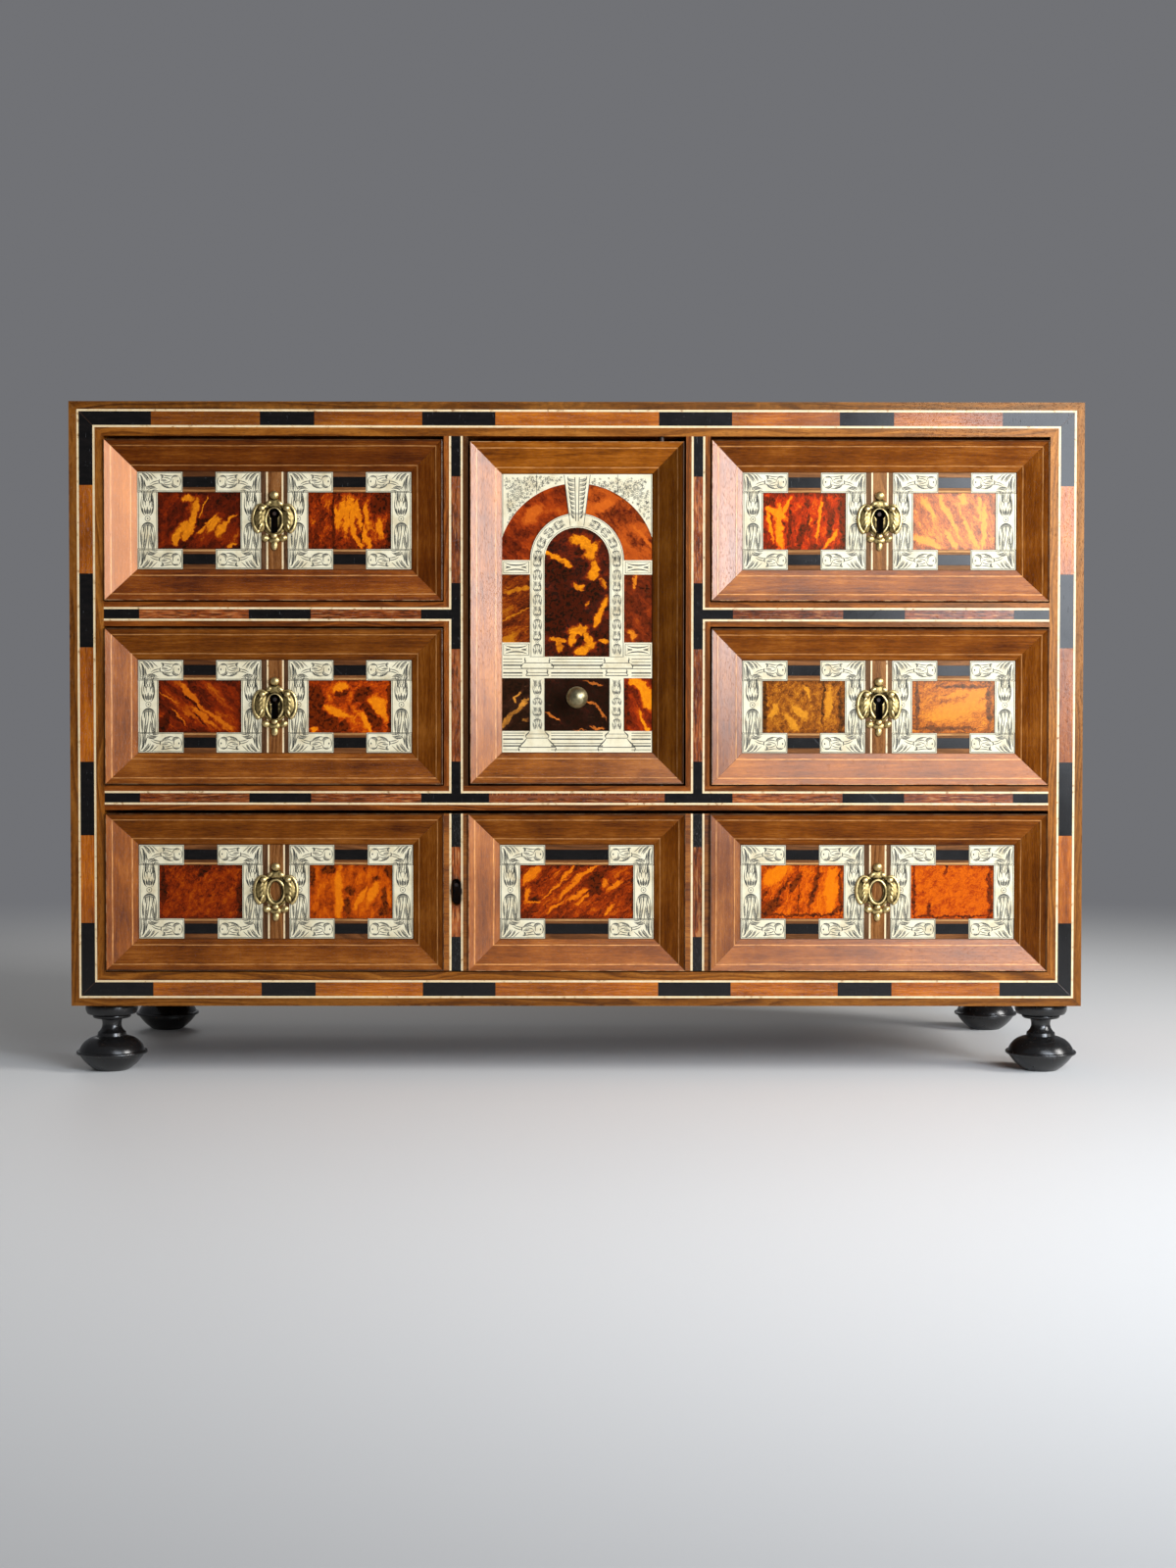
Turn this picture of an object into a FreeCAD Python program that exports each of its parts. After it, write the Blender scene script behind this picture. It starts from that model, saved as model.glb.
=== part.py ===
import FreeCAD, Part
import math
import os

import Sketcher

# Curiosity cabinet: a walnut table cabinet on turned feet, with four small drawers,
# an arched centre door and one long drawer below whose front looks like three.
# Millimetres, +Z up, the front faces -Y, the origin is under the middle of the whole piece.

SIZES = {
    # carcass
    "carcass_width": 640.0,
    "carcass_depth": 245.0,
    "board_thickness": 21.6,
    "divider_thickness": 15.4,
    "centre_opening_width": 137.4,
    "top_row_height": 104.3,
    "middle_row_height": 100.6,
    "bottom_row_height": 102.6,
    "back_thickness": 8.0,
    "back_rebate": 10.0,
    "housing_depth": 4.0,
    "housing_setback": 14.0,
    # inlay in the front edges
    "edge_inlay_depth": 1.5,
    "outer_strip_width": 5.0,
    "string_width": 1.3,
    "carcass_block_width": 8.7,
    "divider_strip_width": 3.4,
    # feet
    "foot_height": 44.3,
    "foot_radius": 23.0,
    "foot_side_inset": 20.0,
    "foot_end_inset": 26.0,
    "foot_dowel_radius": 7.0,
    "foot_dowel_length": 14.0,
    "dowel_clearance": 0.05,
    # bevelled fronts
    "moulding_width": 20.0,
    "moulding_proud": 2.0,
    "panel_recess": 4.0,
    "plaque_thickness": 1.5,
    "shell_thickness": 1.1,
    "front_board_thickness": 12.0,
    "front_side_gap": 0.7,
    "front_bottom_gap": 0.8,
    "top_row_gap": 2.2,
    "middle_row_gap": 1.2,
    "bottom_row_gap": 2.2,
    # drawer boxes
    "runner_clearance": 0.3,
    "drawer_side_thickness": 7.0,
    "drawer_back_thickness": 7.0,
    "drawer_bottom_thickness": 5.0,
    "drawer_bottom_lift": 4.0,
    "drawer_groove_depth": 3.0,
    "drawer_side_drop": 4.0,
    "drawer_front_lap": 6.0,
    # inlaid panels
    "plaque_band_width": 12.8,
    "plaque_arm_length": 28.6,
    "centre_strip_width": 17.0,
    # keyholes, escutcheons and locks
    "keyhole_head_radius": 3.35,
    "keyhole_stem_width": 3.8,
    "keyhole_height": 15.6,
    "key_slot_width": 6.3,
    "key_slot_height": 17.0,
    "escutcheon_width": 27.0,
    "escutcheon_height": 37.5,
    "escutcheon_plate": 1.8,
    "escutcheon_rim_height": 3.6,
    "lock_width": 28.0,
    "lock_height": 40.0,
    "lock_drop": 14.0,
    "lock_thickness": 5.0,
    "lock_wall": 1.2,
    "drill_pin_radius": 1.15,
    "bolt_width": 10.0,
    "bolt_thickness": 2.8,
    "bolt_clearance": 0.3,
    "bolt_lift": 10.0,
    "bolt_top_gap": 0.6,
    "bolt_travel": 5.5,
    "mortise_clearance": 0.5,
    # door
    "door_side_gap": 1.3,
    "door_top_gap": 3.4,
    "door_bottom_gap": 1.2,
    "pivot_inset": 14.0,
    "pivot_cover": 0.2,
    "pivot_pin_radius": 1.5,
    "pivot_pin_clearance": 0.05,
    "pivot_pin_in_door": 7.0,
    "pivot_pin_in_case": 12.0,
    "pivot_end_clearance": 0.5,
    "stop_width": 6.0,
    "stop_thickness": 6.0,
    "stop_clearance": 0.3,
    # door portico
    "plinth_height": 13.5,
    "column_height": 33.5,
    "cornice_height": 13.5,
    "impost_height": 9.0,
    "side_field_height": 43.0,
    "jamb_width": 9.1,
    "arch_inner_radius": 20.6,
    "great_arch_radius": 50.0,
    "great_arch_drop": 1.5,
    "keystone_top_width": 17.0,
    "keystone_foot_width": 10.5,
    # door knob
    "knob_radius": 6.8,
    "knob_standoff": 12.5,
    "knob_collar_radius": 4.6,
    "knob_collar_height": 1.4,
    "knob_neck_radius": 2.4,
    "knob_shank_radius": 2.0,
    "knob_shank_clearance": 0.05,
    "knob_lift": 4.4,
    # cutting tools run past what they cut
    "overrun": 1.0,
}

# Ends of the dark and light blocks, as shares of half the run that they follow.
CARCASS_ACROSS_SHARES = (0.161, 0.305, 0.517, 0.624, 0.838)
CARCASS_UPRIGHT_SHARES = (0.189, 0.433, 0.724)
RAIL_SHARES = (0.186, 0.330, 0.563, 0.694, 0.925)
# Ends of the blocks on an upright, as shares of its height from the top.
UPRIGHT_SHARES = (0.115, 0.419, 0.608, 0.930)
FALSE_UPRIGHT_SHARES = (0.212, 0.784)

# Turned foot: radius and height as shares of the foot's, then the bend to the next point,
# as a share of the foot's radius (0 is straight, minus curves towards the axis).
FOOT_SHARES = (
    (0.457, 0.000, 1.300),
    (0.883, 0.217, 0.000),
    (0.883, 0.235, 0.000),
    (0.950, 0.235, 0.050),
    (0.950, 0.284, 0.000),
    (0.909, 0.284, 0.560),
    (0.457, 0.485, 0.000),
    (0.404, 0.501, 0.000),
    (0.387, 0.546, -0.300),
    (0.313, 0.758, 0.000),
    (0.478, 0.758, 0.063),
    (0.478, 0.822, 0.000),
    (0.665, 0.822, 0.280),
    (0.665, 1.000, 0.000),
)

# Escutcheon outline: round lobes as shares of half its width and half its height,
# then the lobe's radius as a share of half the width.
ESCUTCHEON_LOBE_SHARES = (
    (-0.66, 0.20, 0.34),
    (-0.62, -0.12, 0.34),
    (0.66, 0.20, 0.34),
    (0.62, -0.12, 0.34),
    (0.00, 0.58, 0.36),
    (0.00, 0.80, 0.25),
    (-0.36, -0.62, 0.25),
    (0.36, -0.62, 0.25),
    (0.00, -0.64, 0.25),
    (0.00, -0.83, 0.22),
)
ESCUTCHEON_OVAL_WIDTH_SHARE = 0.58
ESCUTCHEON_OVAL_HEIGHT_SHARE = 0.53
ESCUTCHEON_RIM_SHARE = 0.78

doc = FreeCAD.newDocument("curiosity_cabinet")
sheet = doc.addObject("Spreadsheet::Sheet", "Sizes")


def text_of(item):
    return item.text if isinstance(item, Size) else repr(item)


def value_of(item):
    return item.value if isinstance(item, Size) else item


class Size:
    """A length worked out from the sheet: the formula for it and its present value."""

    def __init__(self, text, value):
        self.text = text
        self.value = value

    def join(self, sign, left, right, value):
        return Size("(" + text_of(left) + sign + text_of(right) + ")", value)

    def __add__(self, other):
        return self.join(" + ", self, other, self.value + value_of(other))

    def __radd__(self, other):
        return self.join(" + ", other, self, value_of(other) + self.value)

    def __sub__(self, other):
        return self.join(" - ", self, other, self.value - value_of(other))

    def __rsub__(self, other):
        return self.join(" - ", other, self, value_of(other) - self.value)

    def __mul__(self, other):
        return self.join(" * ", self, other, self.value * value_of(other))

    def __rmul__(self, other):
        return self.join(" * ", other, self, value_of(other) * self.value)

    def __truediv__(self, other):
        return self.join(" / ", self, other, self.value / value_of(other))

    def __neg__(self):
        return self.join(" * ", -1, self, -self.value)


class Sizes:
    """Gives each named size of the sheet as a Size."""

    def __getattr__(self, name):
        return Size("Sizes." + name, SIZES[name])


for row, (alias, number) in enumerate(SIZES.items(), start=1):
    sheet.set("A" + str(row), alias)
    sheet.set("B" + str(row), str(number))
    sheet.setAlias("B" + str(row), alias)
doc.recompute()

s = Sizes()
nodes = []


def node(piece, label):
    """Names a finished sub-part and puts it on the list of what is written."""
    piece.Label = label
    nodes.append(piece)
    return piece


def bind(piece, name, size):
    piece.setExpression(name, text_of(size))


def place(piece, x, y, z):
    bind(piece, "Placement.Base.x", x)
    bind(piece, "Placement.Base.y", y)
    bind(piece, "Placement.Base.z", z)


def ordered(a, b):
    return (a, b) if value_of(a) <= value_of(b) else (b, a)


def block(name, xs, ys, zs):
    """A box between two places on each axis."""
    piece = doc.addObject("Part::Box", name)
    for key, pair in zip(("Length", "Width", "Height"), (xs, ys, zs)):
        low, high = ordered(*pair)
        bind(piece, key, high - low)
    place(piece, ordered(*xs)[0], ordered(*ys)[0], ordered(*zs)[0])
    return piece


def cylinder(name, radius, length, centre, axis):
    """A cylinder from its end's centre along an axis."""
    piece = doc.addObject("Part::Cylinder", name)
    bind(piece, "Radius", radius)
    bind(piece, "Height", length)
    piece.Placement.Rotation = FreeCAD.Rotation(UPWARD, axis)
    place(piece, *centre)
    return piece


def fuse(name, pieces):
    piece = doc.addObject("Part::MultiFuse", name)
    piece.Shapes = pieces
    piece.Refine = True
    return piece


def compound(name, pieces):
    piece = doc.addObject("Part::Compound", name)
    piece.Links = pieces
    return piece


def cut(name, base, tools):
    piece = doc.addObject("Part::Cut", name)
    piece.Base = base
    piece.Tool = tools[0] if len(tools) == 1 else compound(name + "_tools", tools)
    piece.Refine = True
    return piece


def common(name, pieces):
    piece = doc.addObject("Part::MultiCommon", name)
    piece.Shapes = pieces
    piece.Refine = True
    return piece


# Main planes of the carcass
half_width = s.carcass_width / 2
knob_proud = s.knob_standoff + s.knob_radius - s.panel_recess
front = (knob_proud - s.carcass_depth) / 2
rear = front + s.carcass_depth
side_inner = half_width - s.board_thickness
upright_inner = s.centre_opening_width / 2
upright_outer = upright_inner + s.divider_thickness
upright_middle = upright_inner + s.divider_thickness / 2

carcass_base = s.foot_height
bottom_floor = carcass_base + s.board_thickness
lower_shelf_under = bottom_floor + s.bottom_row_height
lower_shelf_top = lower_shelf_under + s.divider_thickness
small_shelf_under = lower_shelf_top + s.middle_row_height
small_shelf_top = small_shelf_under + s.divider_thickness
top_under = small_shelf_top + s.top_row_height
carcass_top = top_under + s.board_thickness
carcass_middle = (carcass_base + carcass_top) / 2

back_inner = rear - s.back_thickness
inlay_back = front + s.edge_inlay_depth
channel_half = s.divider_thickness / 2 - s.divider_strip_width
band_half = channel_half - s.string_width
lower_shelf_middle = (lower_shelf_under + lower_shelf_top) / 2
small_shelf_middle = (small_shelf_under + small_shelf_top) / 2

# Planes of every bevelled front
moulding_front = front - s.moulding_proud
panel_front = front + s.panel_recess
board_front = panel_front + s.plaque_thickness
board_back = board_front + s.front_board_thickness

FORWARD = FreeCAD.Vector(0, -1, 0)
BACKWARD = FreeCAD.Vector(0, 1, 0)
SIDEWAYS = FreeCAD.Vector(1, 0, 0)
UPWARD = FreeCAD.Vector(0, 0, 1)
TURN_ACROSS = FreeCAD.Rotation(SIDEWAYS, -90)
TURN_FORWARD = FreeCAD.Rotation(UPWARD, 180).multiply(TURN_ACROSS)
TURN_UPRIGHT = FreeCAD.Rotation(UPWARD, SIDEWAYS, BACKWARD, "XZY")


def mitred(name, length, width, outer_depth, inner_depth, turn, degrees, base):
    """A straight piece mitred at both ends, thinner or not from its outer to its inner edge."""
    piece = doc.addObject("Part::Wedge", name)
    inner_length = length - 2 * width
    bind(piece, "Xmin", -length / 2)
    bind(piece, "Xmax", length / 2)
    bind(piece, "X2min", -inner_length / 2)
    bind(piece, "X2max", inner_length / 2)
    bind(piece, "Ymin", 0)
    bind(piece, "Ymax", width)
    bind(piece, "Zmin", 0)
    bind(piece, "Zmax", outer_depth)
    bind(piece, "Z2min", 0)
    bind(piece, "Z2max", inner_depth)
    piece.Placement.Rotation = FreeCAD.Rotation(BACKWARD, degrees).multiply(turn)
    place(piece, *base)
    return piece


def turned(name, points, axis_start, axis_end):
    """A turned piece: a revolved sketch of straight and round stretches given as
    radius, height and bend to the next point. It starts and ends on the axis."""
    body = doc.addObject("PartDesign::Body", name)
    sketch = body.newObject("Sketcher::SketchObject", name + "_profile")
    plane = [item for item in body.Origin.OriginFeatures if item.Role == "XZ_Plane"][0]
    sketch.AttachmentSupport = [(plane, "")]
    sketch.MapMode = "FlatFace"
    corners = [(0, axis_start, 0)] + list(points) + [(0, axis_end, 0)]
    ends = []
    for place_now, place_next in zip(corners, corners[1:] + corners[:1]):
        start = FreeCAD.Vector(value_of(place_now[0]), value_of(place_now[1]), 0)
        end = FreeCAD.Vector(value_of(place_next[0]), value_of(place_next[1]), 0)
        bend = value_of(place_now[2])
        if bend == 0:
            index = sketch.addGeometry(Part.LineSegment(start, end), False)
            ends.append((index, 1, 2))
            continue
        chord = end.sub(start)
        reach = math.sqrt(max(bend * bend - chord.Length * chord.Length / 4, 0))
        aside = FreeCAD.Vector(-chord.y, chord.x, 0).normalize()
        centre = start.add(end).multiply(0.5).add(aside.multiply(math.copysign(reach, bend)))
        from_start = math.atan2(start.y - centre.y, start.x - centre.x)
        from_end = math.atan2(end.y - centre.y, end.x - centre.x)
        circle = Part.Circle(centre, UPWARD, abs(bend))
        if bend > 0:
            arc = Part.ArcOfCircle(circle, from_start, from_end)
            index = sketch.addGeometry(arc, False)
            ends.append((index, 1, 2))
        else:
            arc = Part.ArcOfCircle(circle, from_end, from_start)
            index = sketch.addGeometry(arc, False)
            ends.append((index, 2, 1))
    for (index, _, last), (index_next, first, _) in zip(ends, ends[1:] + ends[:1]):
        sketch.addConstraint(Sketcher.Constraint("Coincident", index, last, index_next, first))
    for (index, first, _), (radius, height, bend) in zip(ends, corners):
        if value_of(radius) == 0:
            sketch.addConstraint(Sketcher.Constraint("PointOnObject", index, first, -2))
        else:
            across = Sketcher.Constraint("DistanceX", -1, 1, index, first, value_of(radius))
            number = sketch.addConstraint(across)
            bind(sketch, "Constraints[" + str(number) + "]", radius)
        if value_of(height) == 0:
            sketch.addConstraint(Sketcher.Constraint("PointOnObject", index, first, -1))
        else:
            along = Sketcher.Constraint("DistanceY", -1, 1, index, first, value_of(height))
            number = sketch.addConstraint(along)
            bind(sketch, "Constraints[" + str(number) + "]", height)
        if value_of(bend) != 0:
            size = bend if value_of(bend) > 0 else -bend
            rounding = Sketcher.Constraint("Radius", index, value_of(size))
            number = sketch.addConstraint(rounding)
            bind(sketch, "Constraints[" + str(number) + "]", size)
    spin = body.newObject("PartDesign::Revolution", name + "_turning")
    spin.Profile = sketch
    spin.ReferenceAxis = (sketch, ["V_Axis"])
    spin.Angle = 360.0
    body.Tip = spin
    return body


def carcass_boards():
    """Top, bottom and sides, mitred at the corners, with the channel for the edge inlay,
    the rebate for the back, and the housings of the dividers."""
    height = carcass_top - carcass_base
    channel_outer = s.outer_strip_width
    channel_inner = channel_outer + 2 * s.string_width + s.carcass_block_width
    ring = cut(
        "edge_channel",
        block(
            "edge_channel_outer",
            (channel_outer - half_width, half_width - channel_outer),
            (front - s.overrun, inlay_back),
            (carcass_base + channel_outer, carcass_top - channel_outer),
        ),
        [
            block(
                "edge_channel_inner",
                (channel_inner - half_width, half_width - channel_inner),
                (front - 2 * s.overrun, inlay_back + s.overrun),
                (carcass_base + channel_inner, carcass_top - channel_inner),
            )
        ],
    )
    back_reach = side_inner + s.back_rebate
    back_panel = block(
        "back_board",
        (-back_reach, back_reach),
        (back_inner, rear),
        (bottom_floor - s.back_rebate, top_under + s.back_rebate),
    )
    node(back_panel, "back_panel")

    tongues = {"top": [], "bottom": [], "left": [], "right": []}
    tongue_depths = (front + s.housing_setback, back_inner)
    shelf_tongue = block(
        "lower_shelf_tongue",
        (-side_inner - s.housing_depth, side_inner + s.housing_depth),
        tongue_depths,
        (lower_shelf_under, lower_shelf_top),
    )
    tongues["left"].append(shelf_tongue)
    tongues["right"].append(shelf_tongue)
    shelf_cuts = []
    shelf = fuse(
        "lower_shelf_blank",
        [
            block(
                "lower_shelf_board",
                (-side_inner, side_inner),
                (front, back_inner),
                (lower_shelf_under, lower_shelf_top),
            ),
            shelf_tongue,
        ],
    )
    shelf_cuts.append(
        block(
            "lower_shelf_channel",
            (-side_inner - s.overrun, side_inner + s.overrun),
            (front - s.overrun, inlay_back),
            (lower_shelf_middle - channel_half, lower_shelf_middle + channel_half),
        )
    )

    small_shelves = []
    for side, word in ((-1, "left"), (1, "right")):
        middle = side * upright_middle
        partition_tongue = block(
            word + "_partition_tongue",
            (side * upright_inner, side * upright_outer),
            tongue_depths,
            (lower_shelf_top - s.housing_depth, top_under + s.housing_depth),
        )
        tongues["top"].append(partition_tongue)
        shelf_cuts.append(partition_tongue)
        partition = fuse(
            word + "_partition_blank",
            [
                block(
                    word + "_partition_board",
                    (side * upright_inner, side * upright_outer),
                    (front, back_inner),
                    (lower_shelf_top, top_under),
                ),
                partition_tongue,
            ],
        )
        upright_channel = block(
            word + "_upright_channel",
            (middle - channel_half, middle + channel_half),
            (front - s.overrun, inlay_back),
            (lower_shelf_middle, top_under + s.overrun),
        )
        shelf_cuts.append(upright_channel)
        small_tongue = block(
            word + "_shelf_tongue",
            (side * (upright_outer - s.housing_depth), side * (side_inner + s.housing_depth)),
            tongue_depths,
            (small_shelf_under, small_shelf_top),
        )
        tongues[word].append(small_tongue)
        small_channel = block(
            word + "_shelf_channel",
            (middle, side * (side_inner + s.overrun)),
            (front - s.overrun, inlay_back),
            (small_shelf_middle - channel_half, small_shelf_middle + channel_half),
        )
        partition_node = cut(
            word + "_partition_cut",
            partition,
            [upright_channel, small_channel, small_tongue],
        )
        if side < 0:
            stop_front = board_back + s.stop_clearance
            stop = block(
                "door_stop",
                (-upright_inner, s.stop_width - upright_inner),
                (stop_front, stop_front + s.stop_thickness),
                (lower_shelf_top, top_under),
            )
            partition_node = compound("left_partition_with_stop", [partition_node, stop])
        node(partition_node, word + "_partition")
        small = fuse(
            word + "_shelf_blank",
            [
                block(
                    word + "_shelf_board",
                    (side * upright_outer, side * side_inner),
                    (front, back_inner),
                    (small_shelf_under, small_shelf_top),
                ),
                small_tongue,
            ],
        )
        opening_middle = side * (upright_outer + side_inner) / 2
        mortise = bolt_mortise(word + "_shelf_mortise", opening_middle, small_shelf_under)
        small_shelves.append(cut(word + "_shelf_cut", small, [small_channel, mortise]))
        tongues["top"].append(bolt_mortise(word + "_top_mortise", opening_middle, top_under))
    shelf_cuts.append(bolt_mortise("lower_shelf_mortise", -upright_middle, lower_shelf_under))
    shelf_cuts.append(pivot_hole("lower_pivot_hole", lower_shelf_top, -1))
    tongues["top"].append(pivot_hole("upper_pivot_hole", top_under, 1))
    node(cut("lower_shelf_cut", shelf, shelf_cuts), "lower_shelf")
    node(compound("small_shelf_pair", small_shelves), "small_shelves")

    dowel_holes = []
    for across in (-1, 1):
        for along in (-1, 1):
            x, y = foot_centre(across, along)
            dowel_holes.append(
                cylinder(
                    "foot_hole_%d_%d" % (across + 1, along + 1),
                    s.foot_dowel_radius + s.dowel_clearance,
                    s.foot_dowel_length + 2 * s.overrun,
                    (x, y, carcass_base - s.overrun),
                    UPWARD,
                )
            )
    tongues["bottom"] = dowel_holes

    boards = (
        ("top", 0, s.carcass_width, (0, front, carcass_top)),
        ("right", 90, height, (half_width, front, carcass_middle)),
        ("bottom", 180, s.carcass_width, (0, front, carcass_base)),
        ("left", -90, height, (-half_width, front, carcass_middle)),
    )
    names = {
        "top": "top_board",
        "bottom": "bottom_board",
        "left": "left_side",
        "right": "right_side",
    }
    for word, degrees, length, base in boards:
        blank = mitred(
            word + "_blank",
            length,
            s.board_thickness,
            s.carcass_depth,
            s.carcass_depth,
            TURN_ACROSS,
            degrees,
            base,
        )
        tools = [ring, back_panel] + tongues[word]
        node(cut(word + "_cut", blank, tools), names[word])


def foot_centre(across, along):
    """The centre of a foot: -1 is left or front, 1 is right or rear."""
    x = across * (half_width - s.foot_side_inset)
    y = (front + rear) / 2 + along * (s.carcass_depth / 2 - s.foot_end_inset)
    return x, y


def feet():
    """Four turned feet, each with its dowel up into the bottom board."""
    profile = []
    for radius_share, height_share, bend_share in FOOT_SHARES:
        profile.append(
            (
                s.foot_radius * radius_share,
                s.foot_height * height_share if height_share else 0,
                s.foot_radius * bend_share if bend_share else 0,
            )
        )
    dowel_top = s.foot_height + s.foot_dowel_length
    profile.append((s.foot_dowel_radius, s.foot_height, 0))
    profile.append((s.foot_dowel_radius, dowel_top, 0))
    for along, end in ((-1, "front"), (1, "rear")):
        for across, side in ((-1, "left"), (1, "right")):
            name = "foot_" + end + "_" + side
            foot = turned(name, profile, 0, dowel_top)
            x, y = foot_centre(across, along)
            place(foot, x, y, 0)
            node(foot, name)


def edge_inlay():
    """Strings and alternating blocks let into the front edges of carcass and dividers."""
    groups = {"strings": [], "ebony": [], "fruitwood": [], "redwood": []}
    depths = (front, inlay_back)

    def lay(kind, name, xs, zs):
        groups[kind].append(block(name, xs, depths, zs))

    def run(name, cuts, across, other, light, first_dark):
        """Blocks between neighbouring cuts, dark and light in turn."""
        for number, pair in enumerate(zip(cuts, cuts[1:])):
            dark = (number % 2 == 0) == first_dark
            kind = "ebony" if dark else light
            xs, zs = (pair, other) if across else (other, pair)
            lay(kind, name + "_" + str(number), xs, zs)

    outer_string = s.outer_strip_width
    outer_band = outer_string + s.string_width
    inner_string = outer_band + s.carcass_block_width
    inner_edge = inner_string + s.string_width
    for name, inset in (("outer", outer_string), ("inner", inner_string)):
        end = inset + s.string_width
        for sign, word in ((-1, "low"), (1, "high")):
            edge = carcass_base if sign < 0 else carcass_top
            lay(
                "strings",
                name + "_string_" + word,
                (inset - half_width, half_width - inset),
                (edge - sign * inset, edge - sign * end),
            )
            lay(
                "strings",
                name + "_string_side_" + word,
                (sign * (half_width - inset), sign * (half_width - end)),
                (carcass_base + end, carcass_top - end),
            )
    for sign, word in ((-1, "low"), (1, "high")):
        edge = carcass_base if sign < 0 else carcass_top
        reach = half_width - outer_band
        marks = [half_width * share for share in CARCASS_ACROSS_SHARES]
        cuts = [-reach] + [-mark for mark in reversed(marks)] + marks + [reach]
        other = (edge - sign * outer_band, edge - sign * inner_string)
        run("carcass_band_" + word, cuts, True, other, "fruitwood", True)
        half_height = (carcass_top - carcass_base) / 2
        reach = half_height - inner_string
        marks = [half_height * share for share in CARCASS_UPRIGHT_SHARES]
        offsets = [-reach] + [-mark for mark in reversed(marks)] + marks + [reach]
        cuts = [carcass_middle + offset for offset in offsets]
        other = (sign * (half_width - outer_band), sign * (half_width - inner_string))
        run("carcass_side_band_" + word, cuts, False, other, "fruitwood", True)

    band = (lower_shelf_middle - band_half, lower_shelf_middle + band_half)
    marks = [side_inner * share for share in RAIL_SHARES]
    cuts = [-side_inner] + [-mark for mark in reversed(marks)] + marks + [side_inner]
    run("lower_rail_band", cuts, True, band, "redwood", True)
    low_string = (lower_shelf_middle - channel_half, lower_shelf_middle - band_half)
    high_string = (lower_shelf_middle + band_half, lower_shelf_middle + channel_half)
    lay("strings", "lower_rail_string", (-side_inner, side_inner), low_string)
    centre_reach = upright_middle - band_half
    lay("strings", "door_string_foot", (-centre_reach, centre_reach), high_string)

    rail_low = (small_shelf_middle - channel_half, small_shelf_middle - band_half)
    rail_high = (small_shelf_middle + band_half, small_shelf_middle + channel_half)
    for side, word in ((-1, "left"), (1, "right")):
        meeting = side * (upright_middle + band_half)
        string_outside = (meeting, side * (upright_middle + channel_half))
        string_inside = (
            side * (upright_middle - channel_half),
            side * (upright_middle - band_half),
        )
        wall = side * side_inner
        lay("strings", word + "_string_long", (meeting, wall), high_string)
        lay("strings", word + "_string_under", (meeting, wall), rail_low)
        lay("strings", word + "_string_over", (meeting, wall), rail_high)
        lay("strings", word + "_string_mid", string_outside, (high_string[1], rail_low[0]))
        lay("strings", word + "_string_top", string_outside, (rail_high[1], top_under))
        lay("strings", word + "_string_door", string_inside, (high_string[1], top_under))
        rail_band = (small_shelf_middle - band_half, small_shelf_middle + band_half)
        marks = [side * side_inner * share for share in RAIL_SHARES[1:]]
        run(word + "_rail_band", [meeting] + marks + [wall], True, rail_band, "redwood", True)
        upright_band = (side * (upright_middle - band_half), meeting)
        height = top_under - lower_shelf_top
        marks = [top_under - height * share for share in UPRIGHT_SHARES]
        cuts = [top_under] + marks + [band[1]]
        run(word + "_upright_band", cuts, False, upright_band, "redwood", True)

    for kind, label in (
        ("strings", "edge_strings"),
        ("ebony", "edge_ebony_blocks"),
        ("fruitwood", "edge_fruitwood_blocks"),
        ("redwood", "edge_redwood_blocks"),
    ):
        node(compound(label + "_group", groups[kind]), label)


def bevel_frame(name, xs, zs):
    """Four mitred mouldings that slope in from a proud outer edge to the panel."""
    width = xs[1] - xs[0]
    height = zs[1] - zs[0]
    outer = board_front - moulding_front
    inner = s.plaque_thickness
    across = (xs[0] + xs[1]) / 2
    upright = (zs[0] + zs[1]) / 2
    sides = (
        ("top", 0, width, (across, board_front, zs[1])),
        ("right", 90, height, (xs[1], board_front, upright)),
        ("bottom", 180, width, (across, board_front, zs[0])),
        ("left", -90, height, (xs[0], board_front, upright)),
    )
    pieces = []
    for word, degrees, length, base in sides:
        pieces.append(
            mitred(
                name + "_" + word,
                length,
                s.moulding_width,
                outer,
                inner,
                TURN_FORWARD,
                degrees,
                base,
            )
        )
    return pieces


def panel_inside(xs, zs):
    """The inlaid panel inside a bevelled frame."""
    inset = s.moulding_width
    return (xs[0] + inset, xs[1] - inset), (zs[0] + inset, zs[1] - inset)


def bracket_inlay(name, xs, zs):
    """Bone brackets round one tortoiseshell plate: an arm at top and bottom on each side,
    with an upright piece between them."""
    plaques = []
    plaque_depths = (panel_front, board_front)
    band = s.plaque_band_width
    for side, word in ((0, "left"), (1, "right")):
        edge = xs[side]
        inward = 1 if side == 0 else -1
        arm = (edge, edge + inward * s.plaque_arm_length)
        rows = (
            ("low", arm, (zs[0], zs[0] + band)),
            ("middle", (edge, edge + inward * band), (zs[0] + band, zs[1] - band)),
            ("high", arm, (zs[1] - band, zs[1])),
        )
        for row_word, row_xs, row_zs in rows:
            piece_name = name + "_" + word + "_" + row_word
            plaques.append(block(piece_name, row_xs, plaque_depths, row_zs))
    shell = block(
        name + "_shell_plate",
        (xs[0] + band, xs[1] - band),
        (board_front - s.shell_thickness, board_front),
        (zs[0] + band, zs[1] - band),
    )
    return plaques, shell


def paired_inlay(name, xs, zs):
    """Two bracketed plates with the strip for the escutcheon between them."""
    middle = (xs[0] + xs[1]) / 2
    half_strip = s.centre_strip_width / 2
    plaques, shells = [], []
    for word, pair in (
        ("first", (xs[0], middle - half_strip)),
        ("second", (middle + half_strip, xs[1])),
    ):
        more, shell = bracket_inlay(name + "_" + word, pair, zs)
        plaques += more
        shells.append(shell)
    return plaques, shells


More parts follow.
